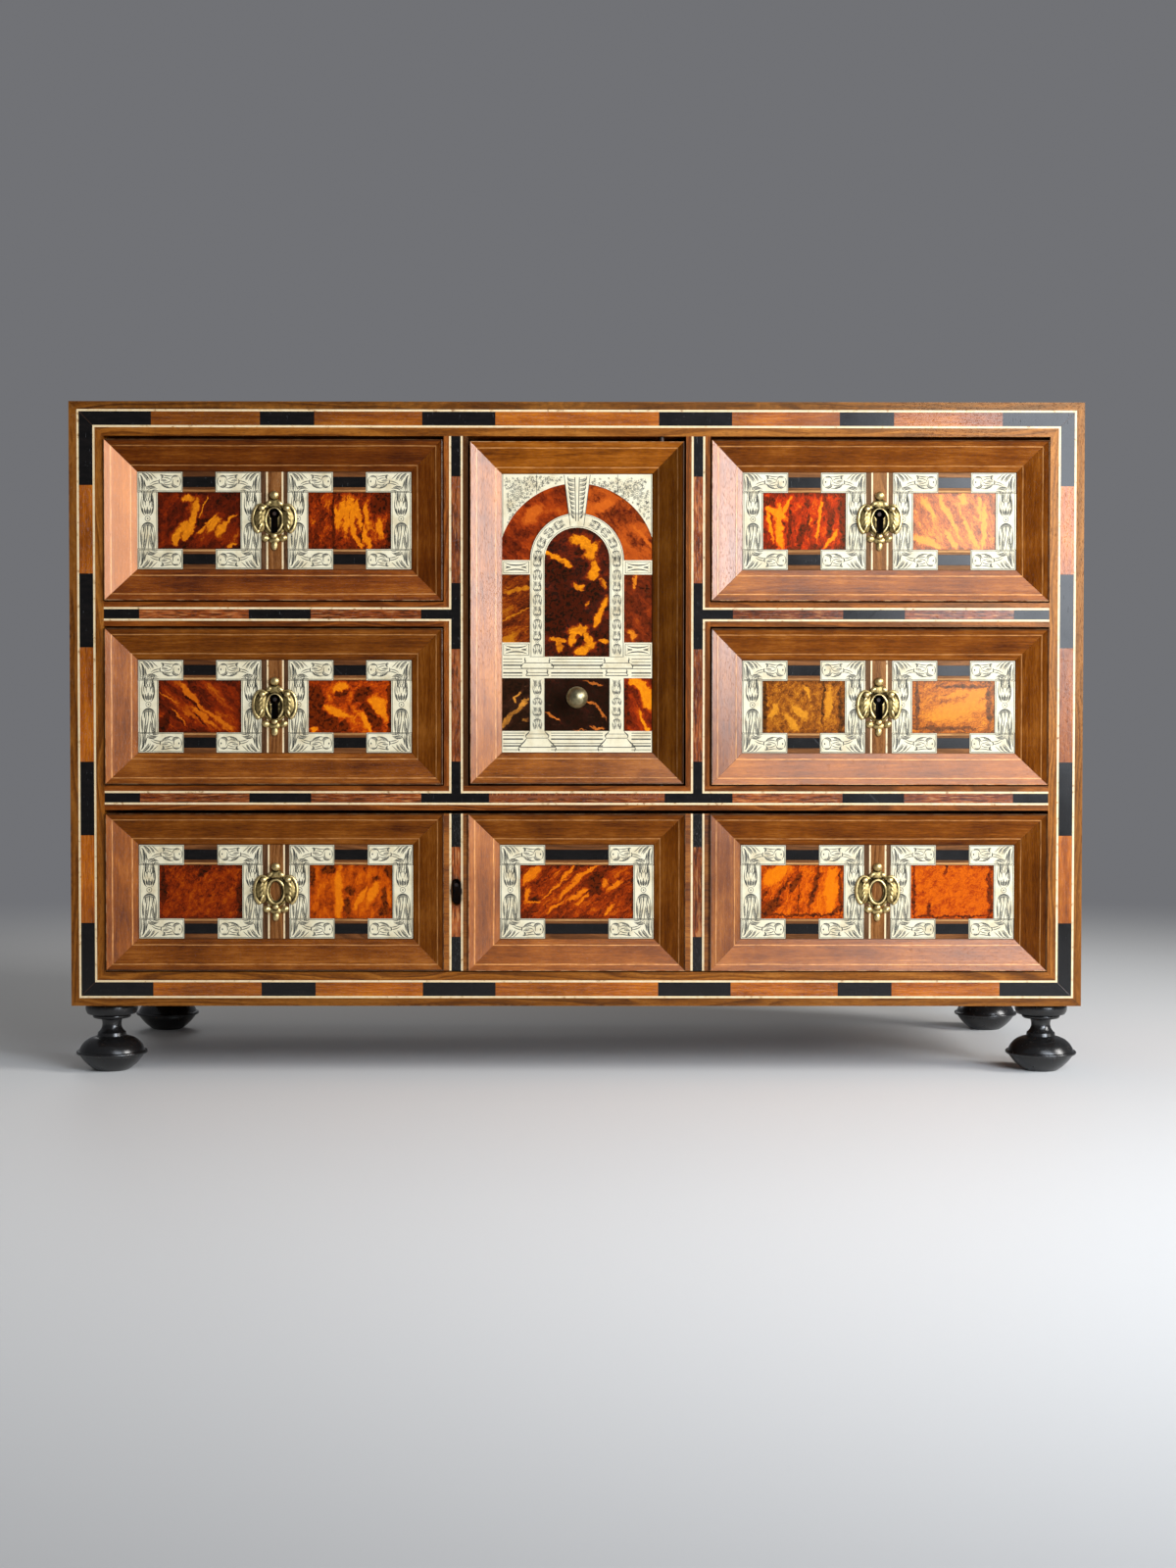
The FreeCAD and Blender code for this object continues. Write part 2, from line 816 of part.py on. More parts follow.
def keyhole(name, x, z, start, length):
    """A round head over a straight stem, cut from front to back."""
    head_z = z + s.keyhole_height / 2 - s.keyhole_head_radius
    head = cylinder(name + "_head", s.keyhole_head_radius, length, (x, start, head_z), BACKWARD)
    stem = block(
        name + "_stem",
        (x - s.keyhole_stem_width / 2, x + s.keyhole_stem_width / 2),
        (start, start + length),
        (z - s.keyhole_height / 2, head_z),
    )
    return fuse(name, [head, stem])


def key_slot(name, x, z, start, length):
    """A slot with round ends, cut from front to back."""
    radius = s.key_slot_width / 2
    reach = s.key_slot_height / 2 - radius
    pieces = [
        cylinder(name + "_over", radius, length, (x, start, z + reach), BACKWARD),
        cylinder(name + "_under", radius, length, (x, start, z - reach), BACKWARD),
        block(
            name + "_body",
            (x - radius, x + radius),
            (start, start + length),
            (z - reach, z + reach),
        ),
    ]
    return fuse(name, pieces)


def bolt_depths():
    """Front and back of a lock's bolt."""
    bolt_back = board_back - s.lock_wall - s.bolt_clearance
    return bolt_back - s.bolt_thickness, bolt_back


def bolt_mortise(name, x, under):
    """The slot above a drawer front that its bolt rises into."""
    bolt_front, bolt_back = bolt_depths()
    half = s.bolt_width / 2 + s.mortise_clearance
    return block(
        name,
        (x - half, x + half),
        (bolt_front - s.mortise_clearance, bolt_back + s.mortise_clearance),
        (under - s.overrun, under + s.bolt_travel),
    )


def lock_parts(prefix, x, z, front_top):
    """A drawer lock let into the back of the front: an open case with its drill pin,
    and the bolt that rises out of the front's top edge."""
    lock_front = board_back - s.lock_thickness
    case_low = z - s.lock_drop
    case_high = case_low + s.lock_height
    half = s.lock_width / 2
    bolt_front, bolt_back = bolt_depths()
    bolt_half = s.bolt_width / 2
    slot_half = bolt_half + s.bolt_clearance
    case_space = block(
        prefix + "_lock_space",
        (x - half, x + half),
        (lock_front, board_back),
        (case_low, case_high),
    )
    hollow = block(
        prefix + "_lock_hollow",
        (x + s.lock_wall - half, x - s.lock_wall + half),
        (lock_front - s.overrun, board_back - s.lock_wall),
        (case_low + s.lock_wall, case_high - s.lock_wall),
    )
    way_out = block(
        prefix + "_lock_slot",
        (x - slot_half, x + slot_half),
        (lock_front - s.overrun, board_back - s.lock_wall),
        (case_high - 2 * s.lock_wall, case_high + s.overrun),
    )
    tray = cut(prefix + "_lock_tray", case_space, [hollow, way_out])
    head_z = z + s.keyhole_height / 2 - s.keyhole_head_radius
    pin = cylinder(
        prefix + "_drill_pin",
        s.drill_pin_radius,
        board_back - s.lock_wall - panel_front,
        (x, panel_front, head_z),
        BACKWARD,
    )
    lock = fuse(prefix + "_lock_solid", [tray, pin])
    bolt = block(
        prefix + "_bolt_bar",
        (x - bolt_half, x + bolt_half),
        (bolt_front, bolt_back),
        (z + s.bolt_lift, front_top - s.bolt_top_gap),
    )
    channel = block(
        prefix + "_bolt_channel",
        (x - slot_half, x + slot_half),
        (bolt_front - s.bolt_clearance, board_back + s.overrun),
        (case_high, front_top + s.overrun),
    )
    return lock, bolt, [case_space, channel]


def drawer_box(prefix, opening_xs, opening_zs, top_gap, front_cuts, front_extras):
    """Front board, sides, back and bottom of a drawer, each its own solid."""
    xs = (opening_xs[0] + s.front_side_gap, opening_xs[1] - s.front_side_gap)
    zs = (opening_zs[0] + s.front_bottom_gap, opening_zs[1] - top_gap)
    outer = (opening_xs[0] + s.runner_clearance, opening_xs[1] - s.runner_clearance)
    side_low = opening_zs[0] + s.runner_clearance
    side_high = opening_zs[1] - s.drawer_side_drop
    box_rear = back_inner - s.runner_clearance
    lap_front = board_back - s.drawer_front_lap
    bottom_low = side_low + s.drawer_bottom_lift
    bottom_high = bottom_low + s.drawer_bottom_thickness
    wall = s.drawer_side_thickness
    groove = s.drawer_groove_depth
    inner = (outer[0] + wall, outer[1] - wall)
    bottom = block(
        prefix + "_bottom",
        (inner[0] - groove, inner[1] + groove),
        (board_back - groove, box_rear),
        (bottom_low, bottom_high),
    )
    side_blanks = []
    for word, edge, inward in (("left", outer[0], 1), ("right", outer[1], -1)):
        side_blanks.append(
            block(
                prefix + "_" + word + "_blank",
                (edge, edge + inward * wall),
                (lap_front, box_rear),
                (side_low, side_high),
            )
        )
    sides = [cut(blank.Name + "_grooved", blank, [bottom]) for blank in side_blanks]
    back = block(
        prefix + "_back",
        inner,
        (box_rear - s.drawer_back_thickness, box_rear),
        (bottom_high, side_high),
    )
    board = block(prefix + "_front_blank", xs, (board_front, board_back), zs)
    if front_extras:
        board = fuse(prefix + "_front_built_up", [board] + front_extras)
    front_board = cut(
        prefix + "_front_board",
        board,
        side_blanks + [bottom] + front_cuts,
    )
    return compound(prefix + "_box_group", [front_board] + sides + [back, bottom])


def escutcheon(name, x, z, pierced):
    """A cast keyhole plate of round lobes with a raised oval rim."""
    half_width_here = s.escutcheon_width / 2
    half_height_here = s.escutcheon_height / 2
    lobes = []
    for number, (across, up, radius) in enumerate(ESCUTCHEON_LOBE_SHARES):
        lobes.append(
            cylinder(
                name + "_lobe_" + str(number),
                half_width_here * radius,
                s.escutcheon_plate,
                (x + half_width_here * across, panel_front, z + half_height_here * up),
                FORWARD,
            )
        )
    oval_width = half_width_here * ESCUTCHEON_OVAL_WIDTH_SHARE
    oval_height = half_height_here * ESCUTCHEON_OVAL_HEIGHT_SHARE
    rim = oval(name + "_rim", x, z, oval_width, oval_height, s.escutcheon_rim_height)
    well = oval(
        name + "_well",
        x,
        z,
        oval_width * ESCUTCHEON_RIM_SHARE,
        oval_height * ESCUTCHEON_RIM_SHARE,
        s.escutcheon_rim_height + s.overrun,
    )
    ring = cut(name + "_ring", rim, [well])
    floor = oval(name + "_floor", x, z, oval_width, oval_height, s.escutcheon_plate)
    plate = fuse(name + "_plate", lobes + [floor, ring])
    if not pierced:
        return plate
    start = panel_front - s.escutcheon_rim_height - s.overrun
    length = s.escutcheon_rim_height + 2 * s.overrun
    return cut(name + "_pierced", plate, [keyhole(name + "_keyhole", x, z, start, length)])


def oval(name, x, z, across, up, thickness):
    """A flat upright oval standing forward of the panel."""
    outline = doc.addObject("Part::Ellipse", name + "_outline")
    bind(outline, "MajorRadius", up)
    bind(outline, "MinorRadius", across)
    outline.Placement.Rotation = TURN_UPRIGHT
    place(outline, x, panel_front, z)
    solid = doc.addObject("Part::Extrusion", name)
    solid.Base = outline
    solid.DirMode = "Custom"
    solid.Dir = FORWARD
    bind(solid, "LengthFwd", thickness)
    solid.Solid = True
    return solid


def small_drawers():
    """Four small drawers, each with its lock and bolt."""
    rows = (
        ("top", small_shelf_top, top_under, s.top_row_gap),
        ("middle", lower_shelf_top, small_shelf_under, s.middle_row_gap),
    )
    for side, side_word in ((-1, "left"), (1, "right")):
        opening_xs = ordered(side * upright_outer, side * side_inner)
        for row_word, floor, ceiling, gap in rows:
            prefix = row_word + "_" + side_word
            xs = (opening_xs[0] + s.front_side_gap, opening_xs[1] - s.front_side_gap)
            zs = (floor + s.front_bottom_gap, ceiling - gap)
            x = (xs[0] + xs[1]) / 2
            z = (zs[0] + zs[1]) / 2
            lock, bolt, lock_cuts = lock_parts(prefix, x, z, zs[1])
            hole = keyhole(
                prefix + "_keyhole",
                x,
                z,
                board_front - s.overrun,
                s.front_board_thickness + s.overrun,
            )
            box = drawer_box(
                prefix, opening_xs, (floor, ceiling), gap, lock_cuts + [hole], []
            )
            panel_xs, panel_zs = panel_inside(xs, zs)
            plaques, shells = paired_inlay(prefix, panel_xs, panel_zs)
            node(box, prefix + "_drawer_box")
            frame = bevel_frame(prefix + "_moulding", xs, zs)
            node(compound(prefix + "_frame_group", frame), prefix + "_drawer_frame")
            node(compound(prefix + "_plaque_group", plaques), prefix + "_drawer_plaques")
            node(compound(prefix + "_shell_group", shells), prefix + "_drawer_shell")
            plate = escutcheon(prefix + "_plate", x, z, True)
            node(plate, prefix + "_escutcheon")
            node(lock, prefix + "_lock")
            node(bolt, prefix + "_bolt")


def long_drawer():
    """The long bottom drawer: three bevelled panels parted by two false uprights,
    with its key slot in the left one and a blind escutcheon on each side panel."""
    opening_xs = (-side_inner, side_inner)
    opening_zs = (bottom_floor, lower_shelf_under)
    zs = (bottom_floor + s.front_bottom_gap, lower_shelf_under - s.bottom_row_gap)
    z = (zs[0] + zs[1]) / 2
    lock, bolt, lock_cuts = lock_parts("long", -upright_middle, z, zs[1])
    slot_front = front - s.overrun
    slot = key_slot("long_slot", -upright_middle, z, slot_front, board_back - slot_front)
    pilasters = []
    strings = []
    blocks = []
    for side, word in ((-1, "left"), (1, "right")):
        middle = side * upright_middle
        pilasters.append(
            block(
                word + "_pilaster",
                (side * upright_inner, side * upright_outer),
                (front, board_front),
                zs,
            )
        )
        for mark, inner, outer in (
            ("inside", middle - channel_half, middle - band_half),
            ("outside", middle + band_half, middle + channel_half),
        ):
            name = word + "_pilaster_string_" + mark
            strings.append(block(name, (inner, outer), (front, inlay_back), zs))
        height = zs[1] - zs[0]
        marks = [zs[1] - height * share for share in FALSE_UPRIGHT_SHARES]
        cuts = [zs[1]] + marks + [zs[0]]
        for number, pair in enumerate(zip(cuts, cuts[1:])):
            name = word + "_pilaster_block_" + str(number)
            band = (middle - band_half, middle + band_half)
            blocks.append(block(name, band, (front, inlay_back), pair))
    channels = [
        block(
            word + "_pilaster_channel",
            (side * upright_middle - channel_half, side * upright_middle + channel_half),
            (front - s.overrun, inlay_back),
            (zs[0] - s.overrun, zs[1] + s.overrun),
        )
        for side, word in ((-1, "left"), (1, "right"))
    ]
    box = drawer_box(
        "long",
        opening_xs,
        opening_zs,
        s.bottom_row_gap,
        lock_cuts + [slot] + channels,
        pilasters,
    )
    node(box, "long_drawer_box")
    string_set = [cut(string.Name + "_cut", string, [slot]) for string in strings[:2]]
    node(compound("long_string_group", string_set + strings[2:]), "long_drawer_strings")
    slotted = cut("left_pilaster_slotted", blocks[1], [slot])
    block_set = [blocks[0], slotted] + blocks[2:]
    node(compound("long_block_group", block_set), "long_drawer_blocks")

    frames, plaques, shells, plates = [], [], [], []
    edge = side_inner - s.front_side_gap
    for side, word in ((-1, "left"), (1, "right")):
        xs = ordered(side * upright_outer, side * edge)
        frames += bevel_frame("long_" + word + "_moulding", xs, zs)
        panel_xs, panel_zs = panel_inside(xs, zs)
        more, plates_here = paired_inlay("long_" + word, panel_xs, panel_zs)
        plaques += more
        shells += plates_here
        x = (xs[0] + xs[1]) / 2
        plates.append(escutcheon("long_" + word + "_plate", x, z, False))
    xs = (-upright_inner, upright_inner)
    frames += bevel_frame("long_centre_moulding", xs, zs)
    panel_xs, panel_zs = panel_inside(xs, zs)
    more, shell = bracket_inlay("long_centre", panel_xs, panel_zs)
    plaques += more
    shells.append(shell)
    node(compound("long_frame_group", frames), "long_drawer_frames")
    node(compound("long_plaque_group", plaques), "long_drawer_plaques")
    node(compound("long_shell_group", shells), "long_drawer_shell")
    node(compound("long_escutcheon_group", plates), "long_drawer_escutcheons")
    node(lock, "long_drawer_lock")
    node(bolt, "long_drawer_bolt")


def pivot_place():
    """The door's pivot axis."""
    x = upright_inner - s.door_side_gap - s.pivot_inset
    return x, inlay_back + s.pivot_cover + s.pivot_pin_radius


def pivot_hole(name, level, direction):
    """The hole of a pivot pin in the carcass, from a face up or down."""
    x, y = pivot_place()
    depth = s.pivot_pin_in_case + s.overrun
    start = level - s.overrun if direction > 0 else level - s.pivot_pin_in_case
    return cylinder(name, s.pivot_pin_radius, depth, (x, y, start), UPWARD)


def door():
    """The arched centre door: board, bevelled frame, portico inlay, knob and pivot pins."""
    xs = (s.door_side_gap - upright_inner, upright_inner - s.door_side_gap)
    zs = (lower_shelf_top + s.door_bottom_gap, top_under - s.door_top_gap)
    (left, right), (low, high) = panel_inside(xs, zs)
    depths = (panel_front, board_front)
    shell_front = board_front - s.shell_thickness
    shell_depths = (shell_front, board_front)

    plinth_top = low + s.plinth_height
    column_top = plinth_top + s.column_height
    cornice_top = column_top + s.cornice_height
    ledge_top = cornice_top + s.impost_height
    impost_low = ledge_top + s.side_field_height
    spring = impost_low + s.impost_height
    jamb_in = s.arch_inner_radius
    jamb_out = jamb_in + s.jamb_width

    far_front = panel_front - s.overrun
    far_back = board_front + s.overrun

    def rod(name, radius, z, start, end):
        return cylinder(name, radius, end - start, (0, start, z), BACKWARD)

    def deep(name, xs_here, zs_here):
        return block(name, xs_here, (far_front, far_back), zs_here)

    arch_outer = fuse(
        "arch_outer",
        [
            rod("arch_outer_round", jamb_out, spring, far_front, far_back),
            deep("arch_outer_legs", (-jamb_out, jamb_out), (cornice_top, spring)),
        ],
    )
    arch_inner = fuse(
        "arch_inner",
        [
            rod("arch_inner_round", jamb_in, spring, far_front, far_back),
            deep("arch_inner_legs", (-jamb_in, jamb_in), (cornice_top - s.overrun, spring)),
        ],
    )
    arch_slab = block("arch_slab", (-jamb_out, jamb_out), depths, (cornice_top, high))
    arch_band = cut("arch_band", common("arch_blank", [arch_slab, arch_outer]), [arch_inner])
    great_arch = rod(
        "great_arch",
        s.great_arch_radius,
        spring - s.great_arch_drop,
        far_front,
        far_back,
    )
    key_foot = spring + jamb_out
    keystone_height = high - key_foot
    keystone = doc.addObject("Part::Wedge", "keystone")
    bind(keystone, "Xmin", -s.keystone_foot_width / 2)
    bind(keystone, "Xmax", s.keystone_foot_width / 2)
    bind(keystone, "X2min", -s.keystone_top_width / 2)
    bind(keystone, "X2max", s.keystone_top_width / 2)
    bind(keystone, "Ymin", 0)
    bind(keystone, "Ymax", keystone_height)
    bind(keystone, "Zmin", 0)
    bind(keystone, "Zmax", s.plaque_thickness)
    bind(keystone, "Z2min", 0)
    bind(keystone, "Z2max", s.plaque_thickness)
    keystone.Placement.Rotation = FreeCAD.Rotation(SIDEWAYS, 90)
    place(keystone, 0, board_front, key_foot)
    keystone_trimmed = cut("keystone_trimmed", keystone, [arch_outer])
    spandrels = cut(
        "spandrels",
        block("spandrel_slab", (left, right), depths, (spring, high)),
        [great_arch, keystone],
    )
    plaques = [arch_band, keystone_trimmed, spandrels]
    plaques.append(block("cornice", (left, right), depths, (column_top, cornice_top)))
    plaques.append(block("plinth", (left, right), depths, (low, plinth_top)))
    for side, word, edge in ((-1, "left", left), (1, "right", right)):
        outside = (side * jamb_out, edge)
        jamb = (side * jamb_in, side * jamb_out)
        plaques.append(
            block(word + "_impost", outside, depths, (impost_low, spring))
        )
        plaques.append(
            block(word + "_ledge", outside, depths, (cornice_top, ledge_top))
        )
        plaques.append(
            block(word + "_column", jamb, depths, (plinth_top, column_top))
        )
    node(compound("door_plaque_group", plaques), "door_plaques")

    knob_z = (plinth_top + column_top) / 2 + s.knob_lift
    shank_hole = rod(
        "knob_hole",
        s.knob_shank_radius + s.knob_shank_clearance,
        knob_z,
        far_front,
        board_back + s.overrun,
    )
    shells = []
    crown = cut(
        "crown_shell",
        common(
            "crown_blank",
            [
                block("crown_slab", (left, right), shell_depths, (spring, high)),
                great_arch,
            ],
        ),
        [arch_outer, keystone],
    )
    shells.append(crown)
    field = common(
        "centre_shell",
        [
            block("centre_slab", (-jamb_in, jamb_in), shell_depths, (cornice_top, high)),
            arch_inner,
        ],
    )
    shells.append(field)
    for side, word, edge in ((-1, "left", left), (1, "right", right)):
        outside = (side * jamb_out, edge)
        shells.append(
            block(word + "_side_shell", outside, shell_depths, (ledge_top, impost_low))
        )
        shells.append(
            block(word + "_low_shell", outside, shell_depths, (plinth_top, column_top))
        )
    middle_shell = block(
        "middle_low_blank", (-jamb_in, jamb_in), shell_depths, (plinth_top, column_top)
    )
    shells.append(cut("middle_low_shell", middle_shell, [shank_hole]))
    node(compound("door_shell_group", shells), "door_shell")

    pivot_x, pivot_y = pivot_place()
    hole_radius = s.pivot_pin_radius + s.pivot_pin_clearance
    hole_depth = s.pivot_pin_in_door + s.pivot_end_clearance
    low_hole = cylinder(
        "door_low_hole",
        hole_radius,
        hole_depth + s.overrun,
        (pivot_x, pivot_y, zs[0] - s.overrun),
        UPWARD,
    )
    high_hole = cylinder(
        "door_high_hole",
        hole_radius,
        hole_depth + s.overrun,
        (pivot_x, pivot_y, zs[1] - hole_depth),
        UPWARD,
    )
    top_rail, right_rail, bottom_rail, left_rail = bevel_frame("door_moulding", xs, zs)
    rails = [
        cut("door_top_rail", top_rail, [high_hole]),
        cut("door_right_rail", right_rail, [high_hole, low_hole]),
        cut("door_bottom_rail", bottom_rail, [low_hole]),
        left_rail,
    ]
    node(compound("door_frame_group", rails), "door_frame")
    board = block("door_board", xs, (board_front, board_back), zs)
    node(cut("door_board_drilled", board, [shank_hole]), "door_panel")

    pin_low = lower_shelf_top - s.pivot_pin_in_case
    pin_length_low = s.pivot_pin_in_case + s.door_bottom_gap + s.pivot_pin_in_door
    pin_high = zs[1] - s.pivot_pin_in_door
    pin_length_high = s.pivot_pin_in_case + s.door_top_gap + s.pivot_pin_in_door
    pins = [
        cylinder(
            "low_pin",
            s.pivot_pin_radius,
            pin_length_low,
            (pivot_x, pivot_y, pin_low),
            UPWARD,
        ),
        cylinder(
            "high_pin",
            s.pivot_pin_radius,
            pin_length_high,
            (pivot_x, pivot_y, pin_high),
            UPWARD,
        ),
    ]
    node(compound("pivot_pin_pair", pins), "door_pivot_pins")

    collar = shell_front - panel_front
    reach = s.knob_standoff
    shank_end = -s.front_board_thickness - s.shell_thickness
    ball_reach = (s.knob_radius.value ** 2 - s.knob_neck_radius.value ** 2) ** 0.5
    neck_share = ball_reach / s.knob_radius.value
    profile = [
        (s.knob_shank_radius, shank_end, 0),
        (s.knob_shank_radius, 0, 0),
        (s.knob_collar_radius, 0, 0),
        (s.knob_collar_radius, s.knob_collar_height, 0),
        (s.knob_neck_radius, 2 * s.knob_collar_height, 0),
        (s.knob_neck_radius, reach + collar - s.knob_radius * neck_share, s.knob_radius),
    ]
    knob = turned("knob", profile, shank_end, reach + collar + s.knob_radius)
    knob.Placement.Rotation = FreeCAD.Rotation(SIDEWAYS, 90)
    place(knob, 0, shell_front, knob_z)
    node(knob, "door_knob")


carcass_boards()
feet()
edge_inlay()
small_drawers()
long_drawer()
door()
doc.recompute()

for item in doc.Objects:
    if "Invalid" in item.State or "Error" in item.State:
        raise RuntimeError("failed: " + item.Name + " " + str(item.State))
os.makedirs("parts", exist_ok=True)
for piece in nodes:
    shape = piece.Shape
    if shape.isNull() or not shape.isValid() or not shape.Solids:
        raise RuntimeError("bad shape: " + piece.Label)
    shape.exportStep(os.path.join("parts", piece.Label + ".step"))
print(len(nodes), "sub-parts,", sum(len(piece.Shape.Solids) for piece in nodes), "solids")
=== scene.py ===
import math
import random

import bmesh
import bpy
from mathutils import Matrix, Vector
from mathutils.geometry import interpolate_bezier


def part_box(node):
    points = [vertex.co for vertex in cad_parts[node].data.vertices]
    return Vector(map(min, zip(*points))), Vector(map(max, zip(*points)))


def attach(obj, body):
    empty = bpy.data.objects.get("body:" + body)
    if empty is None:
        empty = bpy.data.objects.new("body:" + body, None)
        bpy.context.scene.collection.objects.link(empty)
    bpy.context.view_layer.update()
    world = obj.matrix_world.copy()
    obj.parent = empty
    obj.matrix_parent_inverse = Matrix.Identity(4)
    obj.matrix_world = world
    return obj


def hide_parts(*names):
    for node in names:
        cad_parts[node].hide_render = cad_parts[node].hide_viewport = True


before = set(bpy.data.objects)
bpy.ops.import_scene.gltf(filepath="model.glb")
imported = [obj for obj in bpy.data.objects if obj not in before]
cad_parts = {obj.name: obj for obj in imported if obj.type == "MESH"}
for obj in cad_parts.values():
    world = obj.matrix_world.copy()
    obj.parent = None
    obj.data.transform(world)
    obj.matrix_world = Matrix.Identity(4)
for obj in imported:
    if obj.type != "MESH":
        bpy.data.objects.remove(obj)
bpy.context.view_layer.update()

# Curiosity cabinet: walnut carcass, bevelled fronts with boxwood lines, engraved bone,
# tortoiseshell, ebony fillets and cast brass. Sizes are in millimetres, and each mesh is
# brought to metres when it becomes a piece. The lamps and the camera are placed in metres.

MM = 0.001
SEED = 11
SMALL_DRAWERS = ("top_left", "middle_left", "top_right", "middle_right")
DRAWERS = SMALL_DRAWERS + ("long",)


def span(node):
    """The extent of a CAD node in mm on each axis."""
    low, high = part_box(node)
    return [(low[axis] / MM, high[axis] / MM) for axis in range(3)]


def middle_of(ends):
    return (ends[0] + ends[1]) / 2


# Places that the frame gives
(_, CASE_HALF), (FRONT, _), (CASE_BASE, CASE_TOP) = span("right_side")
UPRIGHT_XS = span("right_partition")[0]
LONG_XS, (MOULDING_FRONT, _), LONG_ZS = span("long_drawer_frames")
PANEL_FRONT, BOARD_FRONT = span("door_plaques")[1]
BOARD_BACK = span("door_panel")[1][1]

# Bevelled mouldings
MOULDING_WIDTH = 20.0
MOULDING_INNER_RISE = 1.4
ARRIS = 0.45
LINE_PLACES = (4.1, 16.0)
LINE_WIDTH = 0.7

# Front edges of the case, and the false uprights of the long drawer
OUTER_BAND = 5.6
SIDE_BLOCKS_REACH = 15.5
UPRIGHT_BLOCKS_FOOT = 177.0
CORNER_BLOCKS_REACH = 23.5
# Painted shade on the top band of blocks: how far below the top it reaches, and the x where it
# begins and where it is full
SHADED_TOP_BAND = 16.5
SHADED_TOP_XS = (60.0, -260.0)
KEY_SLOT = (-76.4, 117.0)
# Half sizes of the painted shade that makes the key slot's hole look wider; a worn, dirty rim
# reaches further out
KEY_SLOT_SHADE_AND_WEAR = (3.7, 8.2)
FALSE_EBONY_TOP = 0.212
FALSE_EBONY_FOOT = 0.216

# Inlaid panels
BAND = 12.8
ARM = 28.6
STRIP = 17.0
INLAY_FLUSH = 0.08
INLAY_ARRIS = 0.06
KEYHOLE_WIDTH = 7.0
KEYHOLE_HEIGHT = 16.0

# Engraving. A stroke wider than HATCH_FROM is shading, cut as fine hatching.
LINE_Y = PANEL_FRONT - 0.03
LINE_WEIGHT = 1.5
HATCH_FROM = 0.75
HATCH_WEIGHT = 1.2
HATCH_BEHIND = 0.01
HATCH_PITCH = 0.42


# Node trees

class Wire:
    """A socket of a node tree that can stand in a sum."""

    def __init__(self, tree, socket):
        self.tree = tree
        self.socket = socket

    def other(self, output):
        """Another output of the same node."""
        return Wire(self.tree, self.socket.node.outputs[output])

    def maths(self, operation, *values):
        return self.tree.add("ShaderNodeMath", {"operation": operation}, dict(enumerate(values)))

    def __add__(self, other):
        return self.maths("ADD", self, other)

    __radd__ = __add__

    def __sub__(self, other):
        return self.maths("SUBTRACT", self, other)

    def __rsub__(self, other):
        return self.maths("SUBTRACT", other, self)

    def __mul__(self, other):
        return self.maths("MULTIPLY", self, other)

    __rmul__ = __mul__

    def __truediv__(self, other):
        return self.maths("DIVIDE", self, other)

    def __abs__(self):
        return self.maths("ABSOLUTE", self)

    def least(self, other):
        return self.maths("MINIMUM", self, other)

    def most(self, other):
        return self.maths("MAXIMUM", self, other)

    def fraction(self):
        return self.maths("FRACT", self)

    def between(self, low, high):
        """0 at low and 1 at high, with a soft change; low may be the larger."""
        ends = {"Value": self, "From Min": low, "From Max": high}
        return self.tree.add("ShaderNodeMapRange", {"interpolation_type": "SMOOTHSTEP"}, ends)


class Tree:
    """The nodes of one material, world or group, added one at a time."""

    def __init__(self, node_tree):
        self.nodes = node_tree.nodes
        self.links = node_tree.links

    def add(self, kind, settings=None, inputs=None, output=0):
        """A node with its settings, then the values and links of its sockets."""
        made = self.nodes.new(kind)
        for key, value in (settings or {}).items():
            if key == "stops":
                ramp = made.color_ramp
                while len(ramp.elements) < len(value):
                    ramp.elements.new(0.5)
                for element, (position, colour) in zip(ramp.elements, value):
                    element.position = position
                    element.color = (*colour, 1)
            else:
                setattr(made, key, value)
        self.feed(made, inputs or {})
        return Wire(self, made.outputs[output]) if made.outputs else made

    def feed(self, node, inputs):
        """Gives each named socket of a node its value or its link."""
        for key, value in inputs.items():
            if isinstance(value, Wire):
                self.links.new(value.socket, node.inputs[key])
            else:
                node.inputs[key].default_value = value

    def blend(self, factor, first, second):
        """A colour between two colours."""
        ends = {0: factor, 6: opaque(first), 7: opaque(second)}
        return self.add("ShaderNodeMix", {"data_type": "RGBA"}, ends, output=2)


